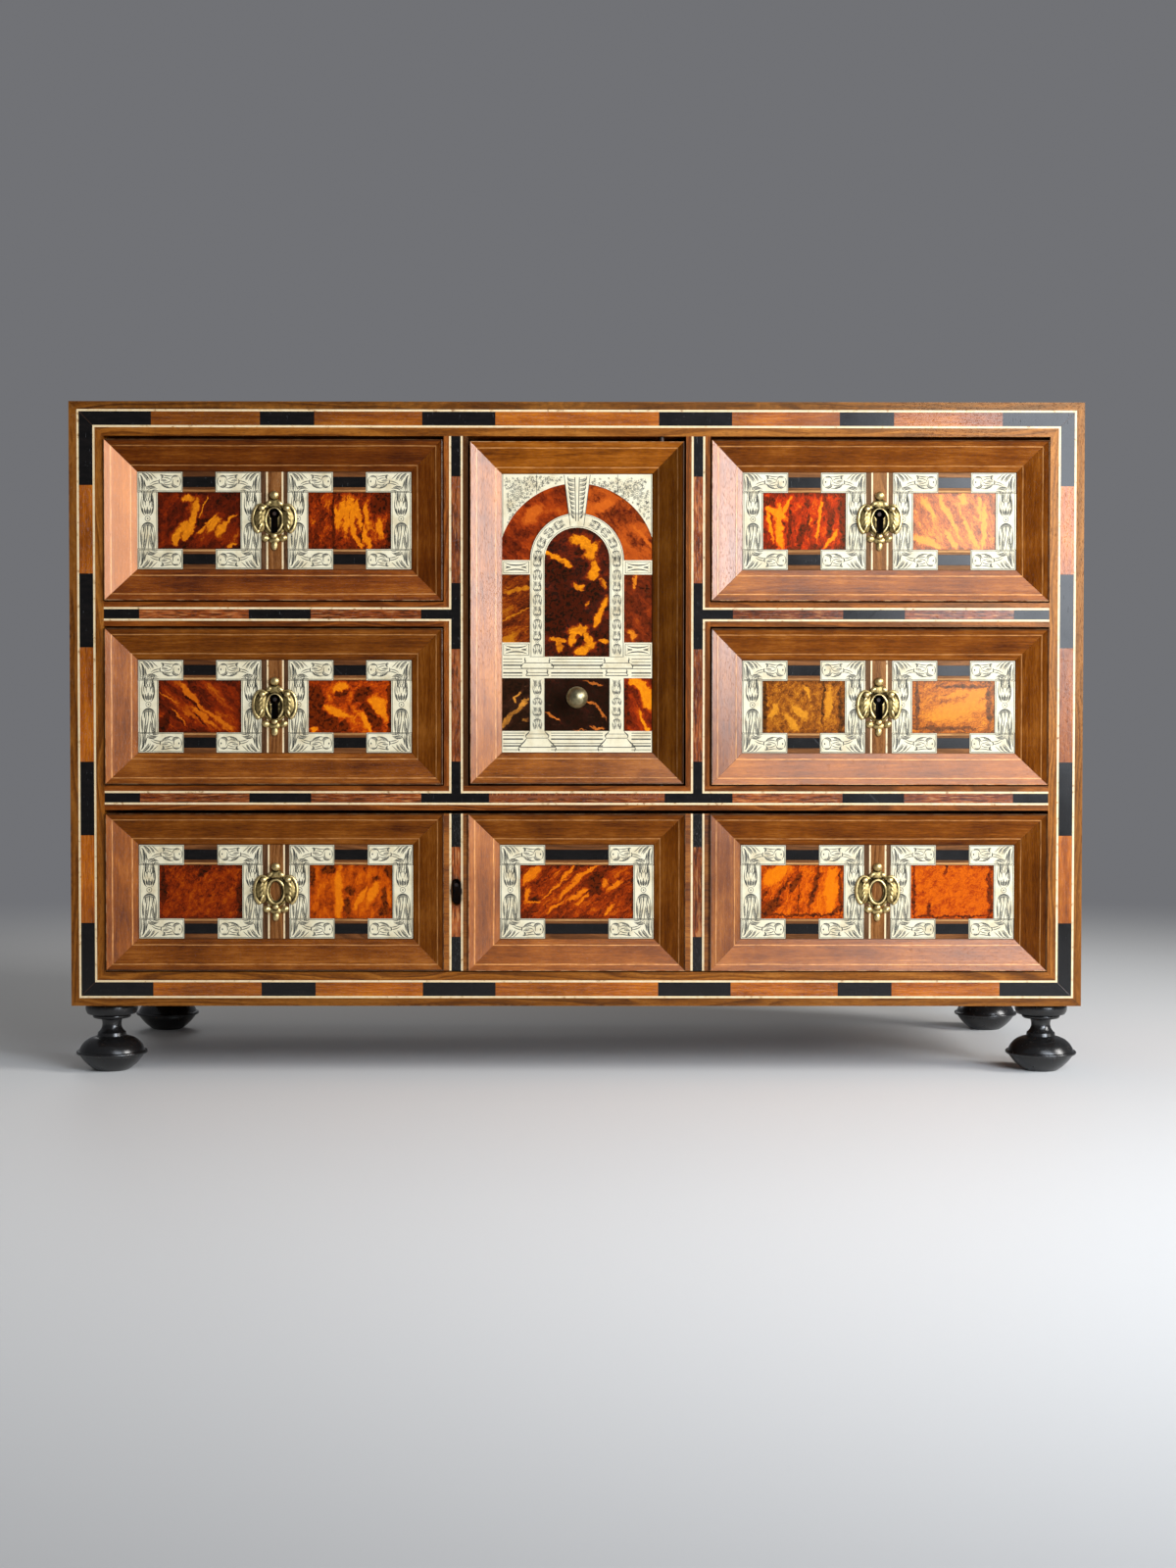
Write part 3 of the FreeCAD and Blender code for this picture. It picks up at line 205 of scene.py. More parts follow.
class Finish(Tree):
    """A surface finish. place is the object's own coordinates in mm."""

    def __init__(self, name):
        self.material = bpy.data.materials.new(name)
        self.material.use_nodes = True
        super().__init__(self.material.node_tree)
        self.shader = self.nodes["Principled BSDF"]
        self.place = self.scaled(self.add("ShaderNodeTexCoord", output="Object"), 1 / MM)

    def parts(self, vector):
        """The x, y and z of a vector."""
        x = self.add("ShaderNodeSeparateXYZ", inputs={0: vector})
        return x, x.other(1), x.other(2)

    def vector(self, x, y, z):
        return self.add("ShaderNodeCombineXYZ", inputs={0: x, 1: y, 2: z})

    def mapped(self, vector, scale=(1, 1, 1), shift=(0, 0, 0), turn=(0, 0, 0)):
        values = {"Vector": vector, "Scale": scale, "Location": shift, "Rotation": turn}
        return self.add("ShaderNodeMapping", inputs=values)

    def cloud(self, vector, scale, detail=3.0, roughness=0.5):
        """Soft noise from 0 to 1."""
        values = {"Vector": vector, "Scale": scale, "Detail": detail, "Roughness": roughness}
        return self.add("ShaderNodeTexNoise", inputs=values)

    def scaled(self, colour, amount):
        """A colour made lighter or darker, or a vector made longer or shorter."""
        values = {0: colour, "Scale": amount}
        return self.add("ShaderNodeVectorMath", {"operation": "SCALE"}, values)

    def hues(self, factor, *stops):
        return self.add("ShaderNodeValToRGB", {"stops": stops}, {0: factor})

    def noted(self, attribute):
        """A value that the mesh holds, such as the painted light and shade of a moulding."""
        return self.add("ShaderNodeAttribute", {"attribute_name": attribute}, output=2)

    def shifted(self, vector, amount, scale, detail=2.0):
        """A vector pushed about by noise, by at most amount either way."""
        noise = self.cloud(vector, scale, detail).other(1)
        centred = {0: noise, 1: (0.5, 0.5, 0.5)}
        away = self.add("ShaderNodeVectorMath", {"operation": "SUBTRACT"}, centred)
        pushed = {0: vector, 1: self.scaled(away, 2 * amount)}
        return self.add("ShaderNodeVectorMath", {"operation": "ADD"}, pushed)

    def finish(self, colour, roughness, height=None, depth=0.1, **fixed):
        """Joins the finish to the shader. depth is the bump's height in mm."""
        values = {"Base Color": colour, "Roughness": roughness}
        if height is not None:
            bump = {"Height": height, "Distance": depth * MM, "Strength": 1.0}
            values["Normal"] = self.add("ShaderNodeBump", inputs=bump)
        for key, value in fixed.items():
            values[key.replace("_", " ").title().replace("Ior", "IOR")] = value
        self.feed(self.shader, values)
        return self.material


def opaque(colour):
    return colour if isinstance(colour, Wire) else (*colour, 1)


# Finishes

WALNUT_DARK = (0.075, 0.016, 0.0015)
WALNUT_MID = (0.240, 0.068, 0.005)
WALNUT_LIGHT = (0.410, 0.145, 0.020)
BOXWOOD = (0.66, 0.29, 0.085)
BOXWOOD_WORN = (0.36, 0.14, 0.035)
# The outer arris of the mouldings made lighter: a painted highlight, broken up in patches like wear
ARRIS_HIGHLIGHT_AND_WEAR = (0.50, 0.27, 0.12)
STRING_PALE = (0.80, 0.59, 0.32)
# Dark for dirt in pits and joints, and for painted shade and shadow
DIRT_AND_SHADE = (0.022, 0.007, 0.002)
# Pinkish haze that paints the sheen on the mouldings that face the lamps
PAINTED_SHEEN = (0.85, 0.40, 0.20)
EBONY_DARK = (0.0014, 0.0012, 0.0011)
BONE_PALE = (0.80, 0.715, 0.49)
WAX_TINT = (1.0, 0.56, 0.25, 1.0)
MOULDING_TINT = (1.0, 0.88, 0.80, 1.0)
BLOCK_TINT = (1.0, 0.94, 0.90, 1.0)
SHELL_TINT = (1.0, 0.5, 0.2, 1.0)
# Specular levels of the mouldings facing away from the lamps and of those facing them: lit and
# shaded copies of one finish, with a painted sheen on the lit side
SHADED_SIDE_SHINE = 0.16
LIT_SIDE_SHINE = 0.52


def planed(f, place, stretch, dark, mid, light, shift=(0, 0, 0), pores=0.6, figure=0.5,
           patches=0.36):
    """Colour, roughness and height of planed and waxed wood. stretch draws out the grain."""
    seen = f.mapped(place, stretch, shift)
    broad = f.cloud(seen, 0.09, 3.0)
    fine = f.cloud(seen, 0.85, 5.0, 0.65)
    rings = (f.cloud(seen, 0.045, 2.0) * 13 + fine * 0.25).fraction()
    ring = rings.between(0.0, 0.8) * rings.between(1.0, 0.86)
    short = [1.0 if size == 1 else size * 3 for size in stretch]
    pore = f.cloud(f.mapped(place, short, shift), 2.6, 2.0).between(0.58, 0.70)
    ray = f.cloud(f.mapped(place, short, (7, 3, 5)), 1.5, 3.0, 0.6)
    streaks = f.cloud(f.mapped(seen, (0.5, 1, 1)), 3.2, 3.0, 0.6)
    patina = f.cloud(place, 0.035, 3.0)
    tone = broad * 0.34 + fine * 0.24 + streaks * 0.26 + ray * 0.24 + (patina - 0.5) * patches
    colour = f.hues(tone + (ring - 0.5) * 0.14 * figure, (0.38, dark), (0.55, mid), (0.72, light))
    colour = f.blend(pore * pores, colour, dark)
    roughness = 0.30 + patina * 0.16 + pore * 0.2
    height = fine * 0.35 - pore * 0.8 + broad * 0.5
    return colour, roughness, height


def walnut(name, axis, dark=WALNUT_DARK, mid=WALNUT_MID, light=WALNUT_LIGHT, shift=(0, 0, 0),
           door_shadow=False, matt=0.88):
    """Walnut of the case, with the grain along an axis. The door flag paints the shadow that
    the door casts on the left partition's edge beside it. matt scales the roughness."""
    f = Finish(name)
    stretch = tuple(0.045 if letter == axis else 1.0 for letter in "xyz")
    x, y, z = f.parts(f.place)
    bowed = f.shifted(f.place, 14.0, 0.006)
    colour, roughness, height = planed(f, bowed, stretch, dark, mid, light, shift,
                                       figure=1.3, patches=0.20)
    worn = f.cloud(f.place, 0.25, 4.0, 0.6)
    edge = (abs(x) - CASE_HALF).most(z - CASE_TOP).most(FRONT - y).most(CASE_BASE - z)
    arris = edge.between(-0.9, -0.1) * worn.between(0.42, 0.62)
    nearest = (CASE_HALF - abs(x)).most(0.0)
    corner = nearest.least(CASE_TOP - z).least(z - CASE_BASE)
    outside = corner.between(1.4, 0.3) * (y - FRONT).between(1.2, 0.2)
    colour = f.blend(outside * worn.between(0.40, 0.60) * 0.6, colour, light)
    colour = f.scaled(colour, 1.0 - corner.between(OUTER_BAND + 0.6, OUTER_BAND - 0.6) * 0.34)
    upper = (CASE_TOP - z).between(OUTER_BAND + 0.6, OUTER_BAND - 0.6)
    colour = f.scaled(colour, 1.0 - upper * worn.between(0.30, 0.70) * 0.40)
    # Painted shadow that the door casts on the left partition's edge beside it
    if door_shadow:
        inner = UPRIGHT_XS[0]
        left = x.between(0.0, -1.0)
        near = x.between(-inner - 4.4, -inner - 3.4) * 0.80
        close = x.between(-inner - 1.9, -inner - 1.4) * 0.92
        colour = f.blend(near.most(close) * left, colour, DIRT_AND_SHADE)
    colour = f.blend(arris * 0.15, colour, dark)
    dents = f.cloud(f.place, 0.7, 2.0).between(0.74, 0.80)
    colour = f.blend(dents * 0.5, colour, dark)
    return f.finish(colour, roughness * matt, height - dents, 0.09, coat_weight=0.08,
                    coat_roughness=0.18, specular_ior_level=0.6, specular_tint=WAX_TINT)


def moulding_walnut(name, hues, shift):
    """The two finishes of a bevelled frame, lit and shaded copies of one walnut: a weak sheen
    for its top and right mouldings, and a stronger, painted sheen for its bottom and left ones."""
    return [moulding_finish(name + "_dull", *hues, shift, SHADED_SIDE_SHINE),
            moulding_finish(name, *hues, shift, LIT_SIDE_SHINE)]


def moulding_finish(name, dark, mid, light, shift, shine):
    """Walnut read from a frame's grain map, with two boxwood lines."""
    f = Finish(name)
    grain = f.add("ShaderNodeUVMap", {"uv_map": "grain"})
    colour, roughness, height = planed(f, grain, (0.05, 1.0, 1.0), dark, mid, light, shift,
                                       pores=0.5, figure=0.35)
    _, across, _ = f.parts(grain)
    wander = f.cloud(f.mapped(grain, (0.03, 0, 0), shift), 1.0, 2.0) - 0.5
    worn = f.cloud(f.mapped(grain, (0.3, 1, 1), shift), 0.5, 4.0, 0.6)
    lines = []
    seams = []
    for place in LINE_PLACES:
        away = abs(across + wander * 0.8 - place)
        lines.append(away.between(LINE_WIDTH / 2 + 0.15, LINE_WIDTH / 2 - 0.15))
        seams.append(away.between(LINE_WIDTH, LINE_WIDTH / 2) - lines[-1])
    line = lines[0].most(lines[1])
    seam = seams[0].most(seams[1])
    inner = across.between(MOULDING_WIDTH - 1.1, MOULDING_WIDTH - 0.1)
    colour = f.blend(inner * 0.6, colour, DIRT_AND_SHADE)
    colour = f.blend(seam.most(0.0) * 0.40, colour, DIRT_AND_SHADE)
    lined = line * worn.between(0.24, 0.36)
    pale = f.hues(worn, (0.35, BOXWOOD_WORN), (0.62, BOXWOOD))
    colour = f.blend(lined * 0.75, colour, pale)
    # Painted highlight along the outer arris, broken up in patches like wear
    edge = across.between(0.75, 0.25)
    colour = f.blend(edge * worn.between(0.42, 0.58) * 0.8, colour, ARRIS_HIGHLIGHT_AND_WEAR)
    specks = f.cloud(f.mapped(grain, (0.8, 1, 1), shift), 1.5, 2.0)
    pits = specks.between(0.76, 0.82)
    nicks = specks.between(0.27, 0.23)
    colour = f.blend(pits * 0.75, colour, DIRT_AND_SHADE)
    colour = f.blend(nicks * 0.5, colour, light)
    height = height * 0.8 - pits * 1.5 - nicks - seam * 0.5
    # Painted light and shade by how each moulding faces the lamps, partly also its own wood: tone
    # scales the colour, the brightest get a painted pinkish sheen, and the darker ones a painted
    # shadow line along the outer edge, where the gap round the drawer is in shade
    tone = f.noted("tone")
    colour = f.scaled(colour, tone)
    colour = f.blend(tone.between(1.2, 2.6) * 0.6, colour, PAINTED_SHEEN)
    shaded = across.between(1.5, 0.5) * tone.between(1.13, 1.02)
    colour = f.blend(shaded * 0.8, colour, DIRT_AND_SHADE)
    return f.finish(colour, roughness * 0.62 + pits * 0.2, height, 0.05,
                    specular_ior_level=shine, specular_tint=MOULDING_TINT)


def drawer_wood():
    """Drawer boxes: walnut in front, plain dry oak behind the front board."""
    f = Finish("drawer_wood")
    face, face_gloss, face_height = planed(
        f, f.place, (0.045, 1, 1), WALNUT_DARK, WALNUT_MID, WALNUT_LIGHT, (40, 0, 9))
    oak = ((0.20, 0.105, 0.045), (0.36, 0.21, 0.10), (0.52, 0.34, 0.18))
    lining, lining_gloss, lining_height = planed(f, f.place, (1, 0.05, 1), *oak, (3, 7, 0), 0.7)
    _, y, _ = f.parts(f.place)
    behind = y.between(BOARD_BACK - 0.4, BOARD_BACK - 0.2)
    stain = f.cloud(f.place, 0.03, 4.0).between(0.5, 0.7)
    lining = f.blend(stain * 0.35, lining, oak[0])
    # Painted shade: the keyhole walls in the front board are made black
    colour = f.blend(keyhole_shade(f) * (1.0 - behind), f.blend(behind, face, lining), EBONY_DARK)
    roughness = face_gloss + behind * (lining_gloss + 0.25 - face_gloss)
    height = face_height + behind * (lining_height - face_height)
    return f.finish(colour, roughness, height, 0.1, specular_ior_level=0.35)


def keyhole_shade(f):
    """1 round the keyholes of the four small drawers, whose walls are painted black as the shade
    inside the hole.
    """
    x, _, z = f.parts(f.place)
    xs, _, upper = span("top_right_escutcheon")
    lower = span("middle_right_escutcheon")[2]
    aside = abs(abs(x) - middle_of(xs)).between(KEYHOLE_WIDTH, KEYHOLE_WIDTH - 1.0)
    away = abs(z - middle_of(upper)).least(abs(z - middle_of(lower)))
    return aside * away.between(KEYHOLE_HEIGHT / 2 + 3.0, KEYHOLE_HEIGHT / 2 + 2.0)


def back_wood():
    f = Finish("back_wood")
    hues = ((0.16, 0.080, 0.034), (0.29, 0.160, 0.075), (0.42, 0.25, 0.125))
    bowed = f.shifted(f.place, 14.0, 0.006)
    colour, roughness, height = planed(f, bowed, (0.05, 1, 1), *hues, (5, 2, 8), 0.5, 1.6, 0.2)
    stain = f.cloud(f.place, 0.012, 4.0).between(0.45, 0.72)
    colour = f.blend(stain * 0.5, colour, hues[0])
    return f.finish(colour, roughness + 0.28, height, 0.16, specular_ior_level=0.3)


def block_wood(name, hues, upright_of, pores, flecks, shift, ebony_of=None):
    """A block wood along its band, with painted shade on the top band towards the left. upright_of
    picks where the band is upright, and ebony_of where its ends are ebony."""
    f = Finish(name)
    x, y, z = f.parts(f.place)
    upright = upright_of(x, z)
    ends = {"Factor": upright, 4: f.vector(x, y, z), 5: f.vector(z, y, x)}
    along = f.add("ShaderNodeMix", {"data_type": "VECTOR"}, ends, output=1)
    colour, roughness, height = planed(f, along, (0.06, 1, 1), *hues, shift, pores)
    fleck = f.cloud(f.mapped(along, (0.09, 1, 1), shift), 1.1, 2.0)
    colour = f.blend(fleck.between(0.56, 0.66) * flecks, colour, (0.55, 0.25, 0.08))
    colour = f.blend(fleck.between(0.50, 0.40) * flecks * 1.4, colour, DIRT_AND_SHADE)
    # Painted shade: the top band grows darker towards the left, away from the lamps on the right
    under = CASE_TOP - SHADED_TOP_BAND
    top_shade = z.between(under - 0.5, under + 0.5) * x.between(*SHADED_TOP_XS)
    varied = f.cloud(f.place, 0.014, 1.0).between(0.36, 0.60) * 0.35 + 0.85
    colour = f.scaled(colour, varied * (1.0 - top_shade * 0.5))
    if ebony_of:
        colour = with_slot_shade_and_wear(f, f.blend(ebony_of(z), colour, EBONY_DARK))
    return f.finish(colour, roughness * 0.62, height, 0.06, specular_ior_level=0.5,
                    specular_tint=BLOCK_TINT)


def on_case_sides(x, _):
    inner = CASE_HALF - SIDE_BLOCKS_REACH
    return abs(x).between(inner - 0.5, inner + 0.5)


def on_false_uprights(x, _):
    outer = UPRIGHT_XS[1]
    return abs(x).between(outer + 0.2, outer - 0.2)


def on_uprights(x, z):
    above = z.between(UPRIGHT_BLOCKS_FOOT - 1.0, UPRIGHT_BLOCKS_FOOT + 1.0)
    return on_false_uprights(x, z) * above


def ends_of_false_uprights(z):
    """The ebony at the top and the foot of the long drawer's two false uprights."""
    low, high = LONG_ZS
    top = high - (high - low) * FALSE_EBONY_TOP
    foot = low + (high - low) * FALSE_EBONY_FOOT
    return z.between(top - 0.1, top + 0.1).most(z.between(foot + 0.1, foot - 0.1))


def with_slot_shade_and_wear(f, colour):
    """The long drawer's key slot made to look wider: painted shade of a larger hole, and a worn,
    dirty rim round it.
    """
    x, _, z = f.parts(f.shifted(f.place, 0.8, 0.5))
    across = (x - KEY_SLOT[0]) / KEY_SLOT_SHADE_AND_WEAR[0]
    up = (z - KEY_SLOT[1]) / KEY_SLOT_SHADE_AND_WEAR[1]
    away = across * across + up * up
    # A worn, dirty rim, then painted black shade standing for a wider hole
    colour = f.blend(away.between(2.2, 0.9) * 0.6, colour, DIRT_AND_SHADE)
    return f.blend(away.between(1.05, 0.85), colour, EBONY_DARK)


def ebony():
    """Ebony with faint scratches, and the mitred joints of its corner blocks."""
    f = Finish("ebony")
    streaks = f.cloud(f.mapped(f.place, (0.08, 1, 0.3)), 1.4, 4.0)
    colour = f.hues(streaks, (0.35, EBONY_DARK), (0.75, (0.0065, 0.0046, 0.0040)))
    smudge = f.cloud(f.place, 0.06, 3.0)
    scratch = f.cloud(f.mapped(f.place, (1.4, 1, 0.12), turn=(0, 0.6, 0)), 1.6, 2.0)
    scratch = scratch.between(0.70, 0.76)
    x, _, z = f.parts(f.place)
    aside = CASE_HALF - abs(x)
    mitre = abs(aside - (CASE_TOP - z).least(z - CASE_BASE)).between(0.35, 0.15)
    corner = aside.between(CORNER_BLOCKS_REACH + 0.5, CORNER_BLOCKS_REACH - 0.5)
    colour = f.blend(mitre * corner * 0.8, colour, (0.05, 0.022, 0.010))
    return f.finish(colour, 0.16 + smudge * 0.12 + scratch * 0.25, 0 - scratch - mitre, 0.03,
                    specular_ior_level=0.36)


def bone_string():
    f = Finish("bone_string")
    dirt = f.cloud(f.place, 0.32, 4.0, 0.6)
    colour = f.hues(dirt, (0.27, (0.28, 0.13, 0.042)), (0.40, STRING_PALE),
                    (0.8, (0.88, 0.72, 0.46)))
    colour = with_slot_shade_and_wear(f, colour)
    return f.finish(colour, 0.36 + dirt * 0.12, dirt, 0.05)


def bone():
    """Old polished bone, with its small dark canals and a yellower tone in places."""
    f = Finish("bone")
    mottle = f.cloud(f.place, 0.09, 4.0, 0.6)
    colour = f.hues(mottle, (0.30, (0.64, 0.53, 0.32)), (0.50, BONE_PALE),
                    (0.75, (0.86, 0.79, 0.58)))
    canals = f.cloud(f.mapped(f.place, (1, 1, 0.14)), 2.4, 2.0).between(0.63, 0.72)
    across = f.cloud(f.mapped(f.place, (0.14, 1, 1), (9, 0, 4)), 2.4, 2.0).between(0.66, 0.74)
    marks = canals.most(across * 0.7)
    colour = f.blend(marks * 0.35, colour, (0.42, 0.38, 0.26))
    grime = f.cloud(f.place, 0.7, 3.0).between(0.62, 0.80)
    colour = f.blend(grime * 0.28, colour, (0.36, 0.33, 0.24))
    return f.finish(colour, 0.34 + mottle * 0.14 + marks * 0.2, 0 - marks, 0.04,
                    specular_ior_level=0.4)


def ink():
    """The dark filling of the engraved lines. Faces whose tone is 1 are hatched: thin
    slanting lines on bare bone."""
    f = Finish("engraving_ink")
    wear = f.cloud(f.place, 0.35, 3.0)
    colour = f.hues(wear, (0.40, (0.030, 0.029, 0.021)), (0.74, (0.11, 0.105, 0.078)))
    x, _, z = f.parts(f.place)
    slant = ((x + z) / HATCH_PITCH).fraction()
    gap = slant.between(0.64, 0.70) * slant.between(1.0, 0.94)
    colour = f.blend(gap * f.noted("tone"), colour, BONE_PALE)
    return f.finish(colour, 0.55, wear, 0.02)


def tortoiseshell(name, centre, dark, warm, amber, lean=0.0, stretch=2.0, grain=0.16,
                  level=0.36, flashes=(), shadows=(), gloss=0.15, half=None, fleck=0.55):
    """One plate of shell over foil. lean, stretch and grain are how its clouds lie, and
    level is how light its body is, from 0 to 1. Flashes and shadows are soft ovals:
    their place from the plate's centre, half length, half width and lean in degrees.
    half is the plate's half size, whose rim is darker."""
    f = Finish(name)
    start = f.mapped(f.place, shift=(-centre[0], 0, -centre[1]))
    bent = f.shifted(start, 2.6, 0.17, 3.0)
    rough = f.shifted(bent, 1.5, 0.55, 4.0)
    turned = f.mapped(rough, turn=(0, math.radians(lean), 0))
    drawn = f.mapped(turned, (1 / stretch, 1, 1), (centre[1], 0, centre[0]))
    body = f.cloud(drawn, grain, 5.0, 0.62)
    threads = f.cloud(f.mapped(drawn, (0.6, 1, 1)), grain * 6, 3.0, 0.6)
    x, _, z = f.parts(rough)

    def ovals(marks):
        best = None
        for across, up, half_length, half_width, degrees in marks:
            cosine = math.cos(math.radians(degrees))
            sine = math.sin(math.radians(degrees))
            along = ((x - across) * cosine + (z - up) * sine) / half_length
            aside = ((z - up) * cosine - (x - across) * sine) / half_width
            away = along * along + aside * aside * 1.3
            best = away if best is None else best.least(away)
        return best.between(3.4, 0.9) * 0.30 + best.between(1.35, 0.80) * 0.34

    light = (body - 0.5) * 1.5 + (threads - 0.5) * fleck + level
    if flashes:
        light = light + ovals(flashes)
    if shadows:
        light = light - ovals(shadows)
    if half:
        rim = (abs(x) - half[0]).most(abs(z) - half[1])
        light = light - rim.between(-3.2, 0.0) * 0.16
    black = tuple(part * 0.16 for part in dark)
    orange = tuple(part + (full - part) * 0.55 for part, full in zip(warm, amber))
    colour = f.hues(light, (0.02, black), (0.24, dark), (0.46, warm), (0.64, orange),
                    (0.82, amber))
    patches = f.cloud(rough, 0.5, 3.0)
    colour = f.blend(patches.between(0.62, 0.45) * 0.24, colour, warm)
    inside = threads.between(0.58, 0.40) * light.between(0.66, 0.80)
    colour = f.blend(inside * 0.40, colour, orange)
    scratch = f.cloud(f.mapped(f.place, (0.10, 1, 1.6)), 1.7, 2.0).between(0.70, 0.78)
    height = 0 - scratch - body * 0.4
    return f.finish(colour, 0.20 + scratch * 0.3 + patches * 0.08, height, 0.03,
                    coat_weight=gloss, coat_roughness=0.14, specular_ior_level=0.4,
                    specular_tint=SHELL_TINT)


def aged_brass(name, bright, mid, patina):
    """Cast brass, dull in its hollows and rubbed bright on its high places."""
    f = Finish(name)
    high = f.noted("relief")
    stain = f.cloud(f.place, 0.45, 4.0, 0.6)
    grains = f.cloud(f.place, 2.4, 3.0)
    lift = high + (stain - 0.5) * 0.7
    colour = f.hues(lift, (0.26, patina), (0.52, mid), (0.82, bright))
    roughness = 0.46 - high * 0.16 + grains * 0.10
    return f.finish(colour, roughness, grains + stain, 0.05, metallic=1.0)


def iron():
    f = Finish("iron")
    rust = f.cloud(f.place, 0.5, 5.0, 0.65)
    colour = f.hues(rust, (0.40, (0.035, 0.033, 0.033)), (0.72, (0.11, 0.055, 0.030)))
    return f.finish(colour, 0.45 + rust * 0.2, rust, 0.08, metallic=0.75)


def ebonised():
    """Turned and blacked wood of the feet, with a little brown where it is rubbed."""
    f = Finish("ebonised_wood")
    _, _, z = f.parts(f.place)
    rings = f.cloud(f.vector(0, 0, z), 2.2, 3.0)
    rubbed = f.cloud(f.place, 0.22, 5.0, 0.6).between(0.56, 0.74)
    colour = f.hues(rings, (0.3, (0.0045, 0.0044, 0.0044)), (0.8, (0.012, 0.0112, 0.0112)))
    colour = f.blend(rubbed * 0.25, colour, (0.040, 0.028, 0.020))
    dust = f.cloud(f.place, 1.3, 3.0).between(0.68, 0.80)
    colour = f.blend(dust * 0.3, colour, (0.12, 0.115, 0.11))
    return f.finish(colour, 0.24 + rubbed * 0.10, rings - rubbed * 0.2, 0.02,
                    specular_ior_level=0.55)


# Mesh building

class Work:
    """A mesh being built, in mm, with a grain map of lengths along and across. line_y is
    where its engraved lines lie."""

    def __init__(self, line_y=0.0):
        self.line_y = line_y
        self.mesh = bmesh.new()
        self.grain = self.mesh.loops.layers.uv.new("grain")
        self.tone = self.mesh.faces.layers.float.new("tone")

    def face(self, points, grain=(), finish=0, smooth=False, tone=0.0):
        made = self.mesh.faces.new([self.mesh.verts.new(point) for point in points])
        made.material_index = finish
        made.smooth = smooth
        made[self.tone] = tone
        for loop, spot in zip(made.loops, grain):
            loop[self.grain].uv = spot

    def band(self, ring, next_ring, finish=0, smooth=False):
        """Faces between two rings that have as many points."""
        for one in range(len(ring)):
            two = (one + 1) % len(ring)
            corners = [ring[one], ring[two], next_ring[two], next_ring[one]]
            self.face(corners, finish=finish, smooth=smooth)

    def block(self, xs, ys, zs, finish=0, arris=INLAY_ARRIS):
        """A slip of wood or bone whose front arrises are taken off."""
        back = outline(xs, zs)
        front = outline((xs[0] + arris, xs[1] - arris), (zs[0] + arris, zs[1] - arris))
        rings = [
            [(x, ys[1], z) for x, z in back],
            [(x, ys[0] + arris, z) for x, z in back],
            [(x, ys[0], z) for x, z in front],
        ]
        for ring, next_ring in zip(rings, rings[1:]):
            self.band(ring, next_ring, finish)
        self.face(rings[2], finish=finish)
        self.face(rings[0][::-1], finish=finish)

    def stroke(self, points, width, taper=True, steps=8):
        """A flat engraved line that faces forward, through two ends or four curve points."""
        if len(points) == 4:
            curve = interpolate_bezier(*[(x, z, 0) for x, z in points], steps + 1)
            path = [Vector((p[0], p[1])) for p in curve]
        else:
            path = [Vector(p) for p in points]
        hatched = width > HATCH_FROM
        y = self.line_y + (HATCH_BEHIND if hatched else 0.0)
        sides = []
        for number, here in enumerate(path):
            ahead = path[min(number + 1, len(path) - 1)] - path[max(number - 1, 0)]
            aside = Vector((-ahead[1], ahead[0])).normalized()
            share = number / (len(path) - 1)
            half = width / 2 * (HATCH_WEIGHT if hatched else LINE_WEIGHT)
            if taper:
                half *= 0.25 + 0.75 * math.sin(math.pi * share)
            sides.append((here + aside * half, here - aside * half))
        for (a, b), (c, d) in zip(sides, sides[1:]):
            self.face([(p[0], y, p[1]) for p in (b, d, c, a)], tone=float(hatched))

    def disc(self, x, z, radius, hole=0.0, corners=16):
        """A flat round spot or ring that faces forward."""
        for number in range(corners):
            one = math.tau * number / corners
            two = math.tau * (number + 1) / corners
            far = [(x + radius * math.cos(a), 0.0, z + radius * math.sin(a)) for a in (one, two)]
            near = [(x + hole * math.cos(a), 0.0, z + hole * math.sin(a)) for a in (two, one)]
            self.face(far + near if hole else far + [(x, 0.0, z)])

    def done(self, name, closed=True):
        """The finished mesh, still in mm."""
        bmesh.ops.remove_doubles(self.mesh, verts=self.mesh.verts, dist=1e-4)
        if closed:
            bmesh.ops.recalc_face_normals(self.mesh, faces=self.mesh.faces)
        mesh = bpy.data.meshes.new(name)
        self.mesh.to_mesh(mesh)
        self.mesh.free()
        return mesh


def outline(xs, zs):
    """Corners of an upright rectangle, anticlockwise from the front."""
    return [(xs[0], zs[0]), (xs[1], zs[0]), (xs[1], zs[1]), (xs[0], zs[1])]


def shown(name, data):
    """Puts a mesh, a lamp or the camera into the scene."""
    made = bpy.data.objects.new(name, data)
    bpy.context.scene.collection.objects.link(made)
    return made


def piece(name, mesh, body, finishes, replaces=()):
    """Puts a mesh in mm into the scene as a finished piece on its body."""
    mesh.transform(Matrix.Scale(MM, 4))
    made = shown(name, mesh)
    for finish in finishes:
        mesh.materials.append(finish)
    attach(made, body)
    if replaces:
        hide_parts(*replaces)


def settled(made):
    """A plain mesh of an object with its modifiers worked out."""
    bpy.context.view_layer.update()
    ready = made.evaluated_get(bpy.context.evaluated_depsgraph_get())
    mesh = bpy.data.meshes.new_from_object(ready)
    bpy.data.objects.remove(made)
    return mesh


# Bevelled frames

# Across the moulding from its outer edge: distance in, and depth behind its highest place
MOULDING_PROFILE = (
    (0.0, BOARD_FRONT - MOULDING_FRONT),
    (0.0, ARRIS),
    (ARRIS * 0.3, ARRIS * 0.3),
    (ARRIS, 0.0),
    (MOULDING_WIDTH * 0.3, 1.85),
    (MOULDING_WIDTH * 0.65, 4.0),
    (MOULDING_WIDTH - 0.3, BOARD_FRONT - MOULDING_FRONT - MOULDING_INNER_RISE - 0.1),
    (MOULDING_WIDTH, BOARD_FRONT - MOULDING_FRONT - MOULDING_INNER_RISE + 0.1),
    (MOULDING_WIDTH, BOARD_FRONT - MOULDING_FRONT),
)

MITRE_GAP = 0.05
# Each moulding's own stretch of the wood, so that no two show the same grain
GRAIN_APART = 700.0


